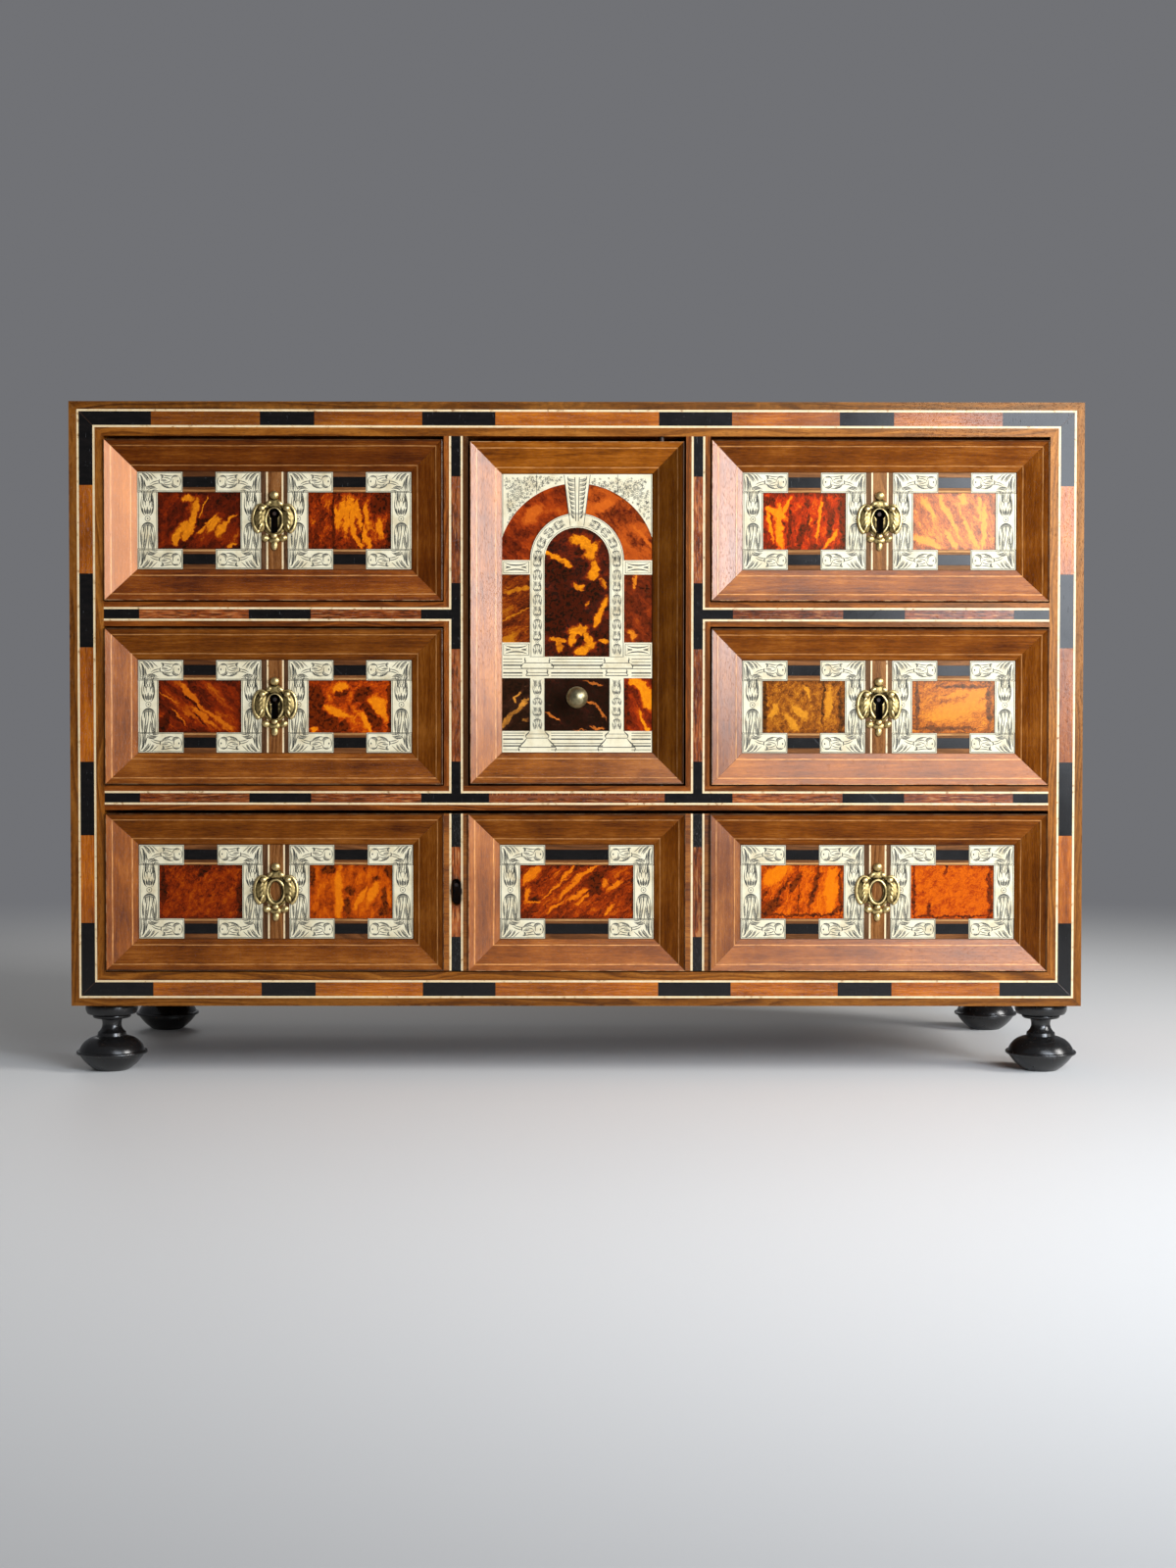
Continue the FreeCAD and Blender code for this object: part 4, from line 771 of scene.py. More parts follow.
def moulding_frame(work, xs, zs, number, tones):
    """Four mitred mouldings round a panel, with their grain along each of them. tones are how
    light the top, right, bottom and left mouldings are: mostly painted light and shade, partly
    their own wood."""
    sides = (
        (Vector((xs[0], zs[1])), Vector((1, 0)), Vector((0, -1)), xs[1] - xs[0]),
        (Vector((xs[1], zs[1])), Vector((0, -1)), Vector((-1, 0)), zs[1] - zs[0]),
        (Vector((xs[1], zs[0])), Vector((-1, 0)), Vector((0, 1)), xs[1] - xs[0]),
        (Vector((xs[0], zs[0])), Vector((0, 1)), Vector((1, 0)), zs[1] - zs[0]),
    )
    for side, (corner, along, inward, length) in enumerate(sides):
        start = GRAIN_APART * (side + 4 * number)
        rows = []
        for across, behind in MOULDING_PROFILE:
            ends = []
            for distance in (across + MITRE_GAP, length - across - MITRE_GAP):
                spot = corner + along * distance + inward * across
                point = (spot[0], MOULDING_FRONT + behind, spot[1])
                ends.append((point, (start + distance, across)))
            rows.append(ends)
        faces = [(row[0], row[1], next_row[1], next_row[0])
                 for row, next_row in zip(rows, rows[1:] + rows[:1])]
        faces += [[row[end] for row in rows] for end in (0, 1)]
        for corners in faces:
            points, grain = zip(*corners)
            work.face(points, grain, finish=int(side > 1), tone=tones[side])


# Dark, middle and light hues of the mouldings' woods
WALNUT_RED = ((0.050, 0.008, 0.0006), (0.165, 0.035, 0.0020), (0.330, 0.098, 0.010))
WALNUT_BROWN = ((0.060, 0.011, 0.0008), (0.190, 0.047, 0.0026), (0.360, 0.115, 0.014))
WALNUT_GOLD = ((0.072, 0.015, 0.0010), (0.240, 0.063, 0.0030), (0.430, 0.140, 0.014))

# Each frame's wood, its grain's shift, and how light its four mouldings are: mostly painted light
# and shade
SMALL_FRAMES = (
    ("top_left", WALNUT_RED, 3, (0.80, 0.80, 1.12, 2.3)),
    ("middle_left", WALNUT_BROWN, 17, (0.9, 0.9, 1.06, 1.43)),
    ("top_right", WALNUT_BROWN, 29, (1.0, 0.9, 1.4, 1.25)),
    ("middle_right", WALNUT_BROWN, 41, (1.0, 0.9, 1.6, 1.0)),
)
# How light the door's and the long drawer's mouldings are, in the same order: mostly painted light
# and shade, partly their own wood
DOOR_TONES = (1.1, 0.40, 1.04, 1.3)
LONG_TONES = ((0.95, 0.9, 1.0, 1.33), (0.95, 0.8, 1.42, 1.45), (1.0, 0.75, 1.42, 1.0))


def bevelled_frames(name, body, node, finishes, widths, tones):
    """The frames that stand for one CAD node, one for each of the widths."""
    work = Work()
    for number, xs in enumerate(widths):
        moulding_frame(work, xs, span(node)[2], number, tones[number])
    piece(name, work.done(name), body, finishes, [node])


def make_frames():
    """Every bevelled frame, each on its own body."""
    for prefix, hues, shift, tones in SMALL_FRAMES:
        node = prefix + "_drawer_frame"
        wood = moulding_walnut(prefix + "_moulding_walnut", hues, (shift, shift, 0))
        bevelled_frames(prefix + "_bevelled_frame", prefix + "_drawer", node, wood,
                        [span(node)[0]], [tones])
    wood = moulding_walnut("door_moulding_walnut", WALNUT_GOLD, (53, 7, 0))
    bevelled_frames("door_bevelled_frame", "door", "door_frame", wood,
                    [span("door_frame")[0]], [DOOR_TONES])
    wood = moulding_walnut("long_moulding_walnut", WALNUT_BROWN, (67, 9, 0))
    bevelled_frames("long_drawer_bevelled_frames", "long_drawer", "long_drawer_frames", wood,
                    long_panels(), LONG_TONES)


def long_panels():
    """Outer edges of the long drawer's three frames."""
    inner, outer = UPRIGHT_XS
    return ((LONG_XS[0], -outer), (-inner, inner), (outer, LONG_XS[1]))


def inside(xs, zs):
    return ((xs[0] + MOULDING_WIDTH, xs[1] - MOULDING_WIDTH),
            (zs[0] + MOULDING_WIDTH, zs[1] - MOULDING_WIDTH))


# Panels

def bracket_pairs(xs):
    """The one or two bracketed fields of a panel, and the middle of its strip if it has one."""
    if xs[1] - xs[0] < 2 * (2 * ARM + STRIP):
        return [xs], None
    middle = middle_of(xs)
    return [(xs[0], middle - STRIP / 2), (middle + STRIP / 2, xs[1])], middle


def panels_of(body):
    """The panel rectangles on a drawer."""
    if body == "long_drawer":
        return [inside(xs, LONG_ZS) for xs in long_panels()]
    xs, _, zs = span(body + "_frame")
    return [inside(xs, zs)]


# The woods of the inlay, in the order in which make_fillets is given them
PLAIN, BLACK, PALE_LINE, CORE, STRING, DARK = range(6)
# The bands of a fillet from the panel's edge inwards, and of a strip from left to right
FILLET_BANDS = ((3.0, PLAIN), (6.6, BLACK), (1.6, PLAIN), (1.2, PALE_LINE), (0.4, PLAIN))
STRIP_BANDS = ((3.3, DARK), (1.1, STRING), (8.7, CORE), (1.1, STRING), (2.8, DARK))


def make_fillets(finishes):
    """Ebony fillets with their walnut lines between the bone arms, and the centre strips."""
    depths = (PANEL_FRONT + INLAY_FLUSH, BOARD_FRONT)
    for prefix in DRAWERS:
        work = Work()
        for xs, zs in panels_of(prefix + "_drawer"):
            pairs, middle = bracket_pairs(xs)
            for field in pairs:
                gap = (field[0] + ARM, field[1] - ARM)
                for start, inward in ((zs[0], 1), (zs[1], -1)):
                    for width, wood in FILLET_BANDS:
                        end = start + inward * width
                        work.block(gap, depths, sorted((start, end)), wood)
                        start = end
            if middle is not None:
                start = middle - STRIP / 2
                for width, wood in STRIP_BANDS:
                    strip = (start, start + width)
                    if wood == CORE and prefix != "long":
                        strip_round_keyhole(work, strip, depths, zs, wood)
                    else:
                        work.block(strip, depths, zs, wood)
                    start += width
        piece(prefix + "_fillets_and_strips", work.done(prefix + "_fillets"),
              prefix + "_drawer", finishes)


def strip_round_keyhole(work, xs, depths, zs, wood):
    """The centre strip in four slips, which leave the keyhole open behind its escutcheon."""
    x, z = middle_of(xs), middle_of(zs)
    hole_xs = (x - KEYHOLE_WIDTH / 2, x + KEYHOLE_WIDTH / 2)
    hole_zs = (z - KEYHOLE_HEIGHT / 2, z + KEYHOLE_HEIGHT / 2)
    work.block(xs, depths, (zs[0], hole_zs[0]), wood)
    work.block(xs, depths, (hole_zs[1], zs[1]), wood)
    work.block((xs[0], hole_xs[0]), depths, hole_zs, wood)
    work.block((hole_xs[1], xs[1]), depths, hole_zs, wood)


# Engraving

# Strokes as curve points along and beside the motif's axis, with the line's width
HUSK_RISING = (
    ((1.5, 1.2), (2.6, 4.0), (7.4, 4.9), (12.6, 3.4), 0.38),
    ((1.5, -1.2), (2.4, -3.9), (7.6, -4.6), (13.0, -3.0), 0.38),
    ((2.2, 0.1), (3.2, 0.2), (4.6, 0.2), (6.4, 0.1), 0.60),
    ((2.3, 1.2), (3.4, 1.7), (4.4, 1.9), (5.8, 1.8), 0.60),
    ((2.3, -1.2), (3.4, -1.7), (4.4, -1.9), (5.8, -1.8), 0.60),
    ((2.6, 2.3), (3.6, 3.0), (4.6, 3.2), (5.8, 3.2), 0.55),
    ((2.6, -2.3), (3.6, -2.9), (4.6, -3.1), (5.8, -3.1), 0.55),
    ((2.4, 0.0), (3.2, 0.0), (4.2, 0.0), (5.0, 0.0), 3.0),
    ((6.2, 2.4), (8.0, 3.2), (10.0, 3.0), (12.0, 2.0), 0.34),
    ((6.2, -2.4), (8.0, -3.1), (10.0, -2.9), (12.2, -1.7), 0.34),
    ((6.8, 0.9), (8.2, 1.8), (9.8, 1.2), (11.0, 0.2), 0.30),
    ((6.8, -0.9), (8.2, -1.7), (9.8, -1.2), (11.2, -0.3), 0.30),
    ((6.0, -3.2), (7.6, -3.6), (9.6, -3.2), (11.6, -2.3), 1.2),
    ((11.6, 0.0), (12.6, 0.5), (13.8, 0.5), (15.2, 0.1), 0.30),
    ((12.6, 3.4), (13.6, 3.2), (14.6, 3.4), (15.4, 4.4), 0.34),
    ((13.0, -3.0), (14.0, -2.9), (14.8, -3.2), (15.4, -4.2), 0.34),
    ((8.6, 1.2), (10.2, 2.6), (12.4, 2.7), (15.0, 2.2), 0.55),
    ((8.2, -1.3), (10.0, -2.7), (12.4, -2.6), (15.2, -1.9), 0.55),
    ((9.4, 0.0), (10.6, 1.2), (12.6, 1.3), (14.6, 1.0), 0.32),
    ((9.4, 0.0), (10.6, -1.2), (12.6, -1.3), (14.6, -1.0), 0.32),
    ((9.6, 1.8), (11.2, 2.2), (13.0, 2.1), (14.8, 1.8), 1.1),
    ((9.2, -3.4), (10.8, -3.4), (12.2, -3.0), (13.6, -2.6), 0.9),
)
HUSK_HANGING = (
    ((4.8, -3.9), (1.4, -3.4), (1.0, 3.2), (4.6, 4.1), 0.50),
    ((4.6, -3.0), (2.2, -2.6), (1.8, 2.4), (4.4, 3.2), 1.7),
    ((4.6, -3.9), (7.5, -4.8), (12.0, -4.2), (15.2, -3.4), 0.38),
    ((4.4, 4.1), (7.6, 5.0), (12.0, 4.6), (15.2, 4.0), 0.38),
    ((3.4, -1.2), (6.6, -1.5), (11.0, -2.4), (15.0, -3.0), 0.42),
    ((3.6, 1.4), (6.8, 2.0), (11.0, 3.0), (15.0, 3.6), 0.38),
    ((8.0, 1.2), (9.8, 1.8), (11.6, 2.2), (13.8, 2.6), 1.3),
    ((7.4, -3.6), (9.0, -3.9), (10.8, -3.7), (12.6, -3.4), 0.9),
    ((4.8, 0.2), (8.0, -0.2), (11.6, -0.9), (14.6, -1.6), 0.34),
    ((6.2, 3.4), (8.4, 4.2), (11.6, 4.0), (14.6, 3.3), 0.30),
    ((9.6, -1.2), (11.2, -2.0), (13.2, -1.9), (15.4, -2.2), 1.0),
    ((11.2, 3.4), (12.6, 3.8), (13.8, 3.4), (15.2, 2.6), 0.9),
    ((9.0, 0.9), (11.0, 0.8), (13.0, 0.4), (15.0, 0.3), 0.30),
    ((2.8, 0.1), (3.6, 0.1), (4.8, 0.1), (6.2, 0.0), 0.55),
    ((3.2, -2.0), (4.2, -2.3), (5.4, -2.5), (6.6, -2.6), 0.55),
    ((3.2, 2.2), (4.2, 2.6), (5.4, 2.8), (6.6, 3.0), 0.55),
)
ARM_SPRAY = (
    ((21.4, 1.1), (21.6, 3.8), (24.2, 4.8), (26.0, 3.5), 0.42),
    ((26.0, 3.5), (27.8, 2.4), (27.7, -1.6), (26.0, -2.8), 0.32),
    ((26.0, -2.8), (24.4, -3.9), (22.0, -3.6), (21.2, -1.0), 0.40),
    ((25.4, 1.1), (25.7, 0.8), (25.7, 0.2), (25.5, -0.1), 0.60),
    ((21.9, -0.7), (22.2, -2.3), (23.6, -3.1), (25.6, -2.7), 1.3),
    ((22.6, 1.8), (22.1, 0.6), (22.2, -0.6), (23.0, -1.6), 0.32),
    ((22.8, 3.2), (23.8, 3.8), (24.8, 3.7), (25.6, 3.1), 0.9),
    ((15.4, 4.3), (17.2, 4.4), (19.4, 3.2), (22.4, 3.9), 0.38),
    ((16.2, 2.5), (18.2, 3.0), (20.0, 2.4), (21.5, 1.2), 0.34),
    ((14.3, 4.2), (15.6, 5.1), (16.9, 3.4), (15.0, 1.8), 0.42),
    ((14.5, 4.3), (15.8, 4.5), (16.3, 3.2), (15.2, 2.0), 1.3),
    ((16.0, 0.0), (18.2, -0.7), (20.2, -0.2), (21.5, 1.0), 0.34),
    ((14.8, 1.1), (16.0, 1.1), (17.2, 1.0), (18.8, 0.8), 1.2),
    ((15.2, -1.0), (16.8, -3.6), (19.8, -4.2), (22.6, -3.3), 0.42),
    ((16.4, -0.7), (18.2, -2.2), (19.8, -2.1), (21.3, -1.0), 0.34),
    ((14.8, -0.6), (16.0, -2.2), (17.6, -3.0), (19.8, -3.1), 1.4),
    ((14.2, 1.7), (13.4, 0.8), (13.5, -0.4), (14.6, -1.3), 0.48),
    ((8.0, -1.5), (9.6, 0.2), (12.0, 0.5), (14.2, 0.9), 0.36),
    ((8.6, -2.4), (10.2, -1.1), (12.4, -0.9), (14.6, -0.7), 0.36),
    ((2.6, 5.6), (5.0, 5.2), (6.8, 3.2), (7.8, 0.6), 0.44),
    ((5.2, 5.7), (7.6, 4.8), (9.4, 3.4), (9.8, 1.0), 0.38),
    ((8.2, 5.6), (9.6, 4.6), (10.8, 3.2), (12.4, 2.0), 0.34),
    ((3.0, 5.0), (4.8, 4.4), (5.9, 2.6), (6.6, 0.6), 1.4),
    ((7.0, 4.4), (8.2, 3.6), (8.9, 2.4), (9.0, 1.2), 0.9),
    ((1.5, 4.4), (3.4, 3.6), (3.7, -0.6), (3.6, -5.7), 0.72),
    ((0.9, 2.6), (1.6, 0.2), (1.6, -2.6), (1.5, -5.6), 0.36),
    ((2.4, 3.0), (2.9, 0.6), (2.8, -2.4), (2.7, -5.4), 0.9),
    ((4.6, 1.2), (4.7, -1.0), (5.0, -2.8), (6.2, -4.0), 0.34),
    ((5.4, -3.6), (7.2, -2.0), (9.6, -2.4), (11.8, -3.6), 0.40),
    ((6.4, -5.4), (8.0, -3.9), (10.2, -3.5), (12.6, -4.2), 0.36),
    ((9.0, -5.6), (10.2, -4.9), (11.4, -4.8), (12.8, -5.4), 0.30),
    ((5.6, -4.6), (7.2, -3.1), (8.8, -2.9), (11.0, -3.8), 1.2),
    ((4.2, 1.6), (4.3, -0.4), (4.5, -2.6), (4.8, -5.4), 0.30),
)
LEAFLET = (
    ((0.0, 0.0), (0.7, 0.8), (1.9, 0.8), (3.2, 0.05), 0.22),
    ((0.0, 0.0), (0.7, -0.8), (1.9, -0.8), (3.2, -0.05), 0.22),
    ((0.4, 0.0), (1.1, 0.0), (1.6, 0.0), (2.3, 0.0), 0.26),
)
SCROLL = (
    ((0.0, 0.0), (1.2, 1.5), (3.4, 1.7), (4.6, 0.2), 0.26),
    ((4.6, 0.2), (5.0, -0.9), (4.1, -1.5), (3.5, -0.7), 0.24),
    ((1.2, 0.9), (0.9, 2.0), (1.7, 2.7), (2.6, 2.4), 0.26),
    ((2.6, 1.3), (2.8, 2.2), (3.7, 2.5), (4.4, 2.0), 0.26),
    ((1.6, 0.3), (2.3, -0.6), (2.0, -1.4), (1.1, -1.5), 0.24),
    ((0.6, 0.5), (1.6, 1.1), (2.8, 1.2), (3.8, 0.7), 0.95),
)


def motif_mesh(name, strokes, flip=1, spots=()):
    work = Work()
    for *points, width in strokes:
        work.stroke([(x, z * flip) for x, z in points], width)
    for x, radius, hole in spots:
        work.disc(x, 0.0, radius, hole=hole)
    return work.done(name, closed=False)


def motif_collection():
    """The engraver's motifs, in the order of their numbers."""
    shelf = bpy.data.collections.new("engraving_motifs")
    rosette = [(0.0, 1.75, 1.42), (0.0, 0.5, 0.0)]
    meshes = (
        motif_mesh("motif_0_husk_rising", HUSK_RISING),
        motif_mesh("motif_1_husk_hanging", HUSK_HANGING),
        motif_mesh("motif_2_rosette", (), spots=rosette),
        motif_mesh("motif_3_spray_down", ARM_SPRAY),
        motif_mesh("motif_4_spray_up", ARM_SPRAY, -1),
        motif_mesh("motif_5_leaflet", LEAFLET),
        motif_mesh("motif_6_scroll", SCROLL),
        motif_mesh("motif_7_scroll_back", SCROLL, -1),
    )
    for mesh in meshes:
        shelf.objects.link(bpy.data.objects.new(mesh.name, mesh))
    return shelf


HUSK_UP, HUSK_DOWN, ROSETTE, SPRAY_DOWN, SPRAY_UP, LEAFLET_NUMBER, SCROLL_ON, SCROLL_BACK = range(8)


def motif_tree():
    """Geometry Nodes that set a motif on each point, turned and sized as the point says."""
    group = bpy.data.node_groups.new("engraved_motifs", "GeometryNodeTree")
    for label, direction, kind in (
        ("Points", "INPUT", "NodeSocketGeometry"),
        ("Motifs", "INPUT", "NodeSocketCollection"),
        ("Ink", "INPUT", "NodeSocketMaterial"),
        ("Engraving", "OUTPUT", "NodeSocketGeometry"),
    ):
        group.interface.new_socket(name=label, in_out=direction, socket_type=kind)
    tree = Tree(group)
    points = tree.add("NodeGroupInput", output="Points")
    motifs = {0: points.other("Motifs"), "Separate Children": True, "Reset Children": True}
    shelf = tree.add("GeometryNodeCollectionInfo", inputs=motifs)

    def read(attribute, kind):
        named = {"Name": attribute}
        return tree.add("GeometryNodeInputNamedAttribute", {"data_type": kind}, named)

    turn = tree.add("ShaderNodeCombineXYZ", inputs={1: read("turn", "FLOAT")})
    setting = {
        "Points": points,
        "Instance": shelf,
        "Pick Instance": True,
        "Instance Index": read("motif", "INT"),
        "Rotation": turn,
        "Scale": read("size", "FLOAT_VECTOR"),
    }
    placed = tree.add("GeometryNodeInstanceOnPoints", inputs=setting)
    real = tree.add("GeometryNodeRealizeInstances", inputs={0: placed})
    inked = tree.add("GeometryNodeSetMaterial", inputs={0: real, "Material": points.other("Ink")})
    tree.add("NodeGroupOutput", inputs={"Engraving": inked})
    return group


class Engraving:
    """The engraved lines of one body: motifs set by Geometry Nodes, and single strokes."""

    def __init__(self):
        self.work = Work(LINE_Y)
        self.motifs = []

    def motif(self, number, x, z, degrees=0.0, size=1.0, width=None):
        self.motifs.append((number, x, z, degrees, size, width or size))

    def husks(self, x, z, rosette, up, down):
        """Two husks from a rosette: its size, and each husk's turn, length and width."""
        self.motif(ROSETTE, x, z, 0, rosette)
        self.motif(HUSK_UP, x, z, *up)
        self.motif(HUSK_DOWN, x, z, *down)

    def line(self, start, end, width=0.22):
        self.work.stroke((start, end), width, taper=False)

    def curve(self, points, width=0.3):
        self.work.stroke(points, width)

    def border(self, xs, zs, inset, width):
        corners = outline((xs[0] + inset, xs[1] - inset), (zs[0] + inset, zs[1] - inset))
        for one, two in zip(corners, corners[1:] + corners[:1]):
            self.line(one, two, width)

    def piece(self, name, body, group, shelf, finish):
        mesh = bpy.data.meshes.new(name + "_points")
        mesh.from_pydata([(x, LINE_Y, z) for _, x, z, *_ in self.motifs], [], [])
        for label, kind in (("motif", "INT"), ("turn", "FLOAT"), ("size", "FLOAT_VECTOR")):
            mesh.attributes.new(label, kind, "POINT")
        noted = mesh.attributes
        for place, (number, _, _, degrees, size, width) in enumerate(self.motifs):
            noted["motif"].data[place].value = number
            noted["turn"].data[place].value = -math.radians(degrees)
            noted["size"].data[place].vector = (size, 1.0, width)
        points = shown(name + "_points", mesh)
        setting = points.modifiers.new("engraving", "NODES")
        setting.node_group = group
        names = {item.name: item.identifier for item in group.interface.items_tree}
        setting[names["Motifs"]] = shelf
        setting[names["Ink"]] = finish
        self.work.mesh.from_mesh(settled(points))
        piece(name, self.work.done(name, closed=False), body, [finish])


# How far the middle rosette of a bracket stands above the panel's middle
ROSETTE_RISE = 1.2


def engrave_brackets(cut, field, zs):
    """A spray on each arm of the brackets, and two husks from a rosette between them."""
    low_arm = (zs[0], zs[0] + BAND)
    high_arm = (zs[1] - BAND, zs[1])
    for edge, inward in ((field[0], 1), (field[1], -1)):
        inner = edge + inward * BAND
        end = edge + inward * ARM
        turn = 0 if inward > 0 else 180
        for arm, spray in ((low_arm, SPRAY_UP), (high_arm, SPRAY_DOWN)):
            if inward < 0:
                spray = SPRAY_UP + SPRAY_DOWN - spray
            cut.motif(spray, edge, middle_of(arm), turn)
            cut.border(sorted((edge, end)), arm, 0.7, 0.24)
            cut.border(sorted((edge, end)), arm, 0.06, 0.16)
        cut.husks(middle_of((edge, inner)), middle_of(zs) + ROSETTE_RISE, 1.0,
                  (90, 1.16, 1.0), (-90, 1.32, 1.0))
        for offset in (0.7, BAND - 0.7):
            x = edge + inward * offset
            cut.line((x, low_arm[1]), (x, high_arm[0]), 0.22)
        for z in (low_arm[1], high_arm[0]):
            cut.line((edge, z), (inner, z), 0.20)
        cut.line((inner, low_arm[1]), (inner, high_arm[0]), 0.16)


# Sizes of the door's portico, from the foot up and from the middle out
PLINTH = 13.5
COLUMN = 33.5
CORNICE = 13.5
IMPOST = 9.0
SIDE_FIELD = 43.0
JAMB_IN = 20.6
JAMB = 9.1
PEDESTAL_XS = (17.0, 34.0)
GREAT_ARCH = 50.0
GREAT_ARCH_DROP = 1.5
KEYSTONE_TOP = 17.0
KEYSTONE_FOOT = 10.5
KEYSTONE_DROP = 9.0
SPANDREL_SEAM = (25.6, 368.4)
SPANDREL_EDGE_RISE = 16.0

(DOOR_LEFT, DOOR_RIGHT), _, (DOOR_FOOT, DOOR_HEAD) = span("door_plaques")
PLINTH_TOP = DOOR_FOOT + PLINTH
COLUMN_TOP = PLINTH_TOP + COLUMN
CORNICE_TOP = COLUMN_TOP + CORNICE
LEDGE_TOP = CORNICE_TOP + IMPOST
IMPOST_LOW = LEDGE_TOP + SIDE_FIELD
SPRING = IMPOST_LOW + IMPOST
JAMB_OUT = JAMB_IN + JAMB
JAMB_MIDDLE = JAMB_IN + JAMB / 2

# Half of a pedestal and half of a capital, as curves and as level lines from the column's
# middle. Heights are over the door's foot and under the capital's top, and each curve
# or line ends with its width.
PEDESTAL_CURVES = (
    ((4.8, PLINTH), (5.4, 11.5), (8.6, 11.0), (6.6, 9.0), 0.55),
    ((6.6, 9.0), (8.0, 6.4), (10.4, 5.0), (11.6, 3.4), 0.50),
    ((11.6, 3.4), (12.2, 2.2), (11.4, 1.4), (11.4, 0.6), 0.45),
)
PEDESTAL_LINES = ((6.6, 9.0, 0.28), (11.6, 3.2, 0.34), (5.4, 11.6, 0.2))
CAPITAL_CURVES = (
    ((7.6, 0.0), (8.6, -1.6), (6.4, -2.4), (8.4, -3.6), 0.55),
    ((8.4, -3.6), (10.2, -4.6), (10.8, -6.0), (9.6, -6.9), 0.45),
    ((6.0, -7.4), (7.6, -8.6), (5.0, -9.4), (7.4, -11.2), 0.55),
)
CAPITAL_LINES = ((8.2, -3.4, 0.28), (9.6, -6.9, 0.40), (6.0, -9.6, 0.26), (7.2, -11.4, 0.36))
CAPITAL_TOP = CORNICE_TOP - 0.5


def engrave_ledge(cut, low, height, shares, broad, lean=0.0):
    """The level lines of the plinth or the cornice, as shares of its height. Those in
    broad are broader, and lean slants the line of their ends beside the left column."""
    inner, outer = PEDESTAL_XS
    for share in shares:
        z = low + height * share
        left_end = -outer - lean * (0.5 - share)
        for start, end in ((DOOR_LEFT, left_end), (-inner, inner), (outer, DOOR_RIGHT)):
            cut.line((start + 0.6, z), (end - 0.6, z), 0.60 if share in broad else 0.30)


def engrave_column(cut, side):
    """A column with its pedestal, its capital and the jamb over it."""
    x = side * JAMB_MIDDLE
    for way in (-1, 1):
        for curves, lines, level in ((PEDESTAL_CURVES, PEDESTAL_LINES, DOOR_FOOT),
                                     (CAPITAL_CURVES, CAPITAL_LINES, CAPITAL_TOP)):
            for *points, width in curves:
                cut.curve([(x + way * across, level + up) for across, up in points], width)
            for reach, up, width in lines:
                cut.line((x, level + up), (x + way * reach, level + up), width)
        edge = x + way * (JAMB / 2)
        cut.line((edge, PLINTH_TOP), (edge, COLUMN_TOP), 0.18)
        edge = x + way * (JAMB / 2 - 0.7)
        cut.line((edge, CORNICE_TOP), (edge, SPRING), 0.16)
    cut.line((side * JAMB_IN, CORNICE_TOP), (side * JAMB_IN, SPRING), 0.12)
    for rise, up, down in ((8.6, 0.44, 0.50), (21.6, 0.72, 0.34)):
        cut.husks(x, PLINTH_TOP + rise, 0.62, (90, up, 0.66), (-90, down, 0.62))
    for step in range(4):
        z = CORNICE_TOP + 9.0 + step * 15.6
        cut.husks(x, z, 0.62, (90, 0.50, 0.62), (-90, 0.50, 0.60))


def engrave_imposts(cut, side):
    """The two small bands beside a jamb, each with two long strokes and four curls."""
    xs = sorted((side * JAMB_OUT, DOOR_LEFT if side < 0 else DOOR_RIGHT))
    for low in (CORNICE_TOP, IMPOST_LOW):
        cut.border(xs, (low, low + IMPOST), 0.9, 0.22)
        middle = low + IMPOST / 2
        for way in (-1, 1):
            edge = middle + way * (IMPOST / 2 - 1.8)
            near = middle + way * 0.8
            cut.curve(((xs[0] + 1.8, edge), (xs[0] + 5.5, near), (xs[1] - 5.5, near),
                       (xs[1] - 1.8, edge)), 0.55)
            for end, inward in ((xs[0], 1), (xs[1], -1)):
                cut.curve(((end + inward * 2.0, middle + way * 0.9), (end + inward * 3.0, middle),
                           (end + inward * 4.2, middle),
                           (end + inward * 5.4, middle + way * 0.2)), 0.45)
    cut.line((side * JAMB_OUT, CORNICE_TOP), (side * JAMB_OUT, LEDGE_TOP), 0.14)
    cut.line((side * JAMB_IN, CORNICE_TOP), (side * JAMB_OUT, CORNICE_TOP), 0.2)


def engrave_arch(cut):
    """The arch's edges, and husks round it."""
    for start in range(0, 180, 6):
        for radius, width in ((JAMB_OUT - 0.75, 0.18), (JAMB_IN + 0.75, 0.18), (JAMB_OUT, 0.16)):
            ends = [on_arch(radius, degrees) for degrees in (start, start + 6)]
            cut.line(*ends, width)
    for degrees in (16, 53, 127, 164):
        x, z = on_arch(JAMB_MIDDLE, degrees)
        onward = 97 if degrees < 90 else -97
        cut.husks(x, z, 0.62, (degrees + onward, 0.52, 0.62), (degrees - onward, 0.46, 0.60))


def on_arch(radius, degrees):
    angle = math.radians(degrees)
    return radius * math.cos(angle), SPRING + radius * math.sin(angle)


def engrave_keystone(cut):
    """The keystone's edges, and nine pairs of leaves up its middle."""
    foot = SPRING + JAMB_OUT - KEYSTONE_DROP
    for side in (-1, 1):
        cut.line((side * (KEYSTONE_FOOT / 2 - 1.0), foot + 1.0),
                 (side * (KEYSTONE_TOP / 2 - 0.2), DOOR_HEAD - 0.4), 0.26)
        cut.line((side * 0.8, foot + 4.0), (side * 1.4, DOOR_HEAD - 2.0), 0.34)
        for step in range(9):
            z = foot + 7.0 + step * 2.9
            reach = 3.6 + step * 0.34
            cut.curve(((side * 1.3, z - 1.2), (side * (reach - 1.0), z - 1.4),
                       (side * reach, z - 0.2), (side * (reach - 0.4), z + 2.0)), 0.50)
            cut.curve(((side * 1.6, z - 0.2), (side * 2.2, z - 0.4),
                       (side * (reach - 1.0), z), (side * (reach - 0.9), z + 0.8)), 0.85)


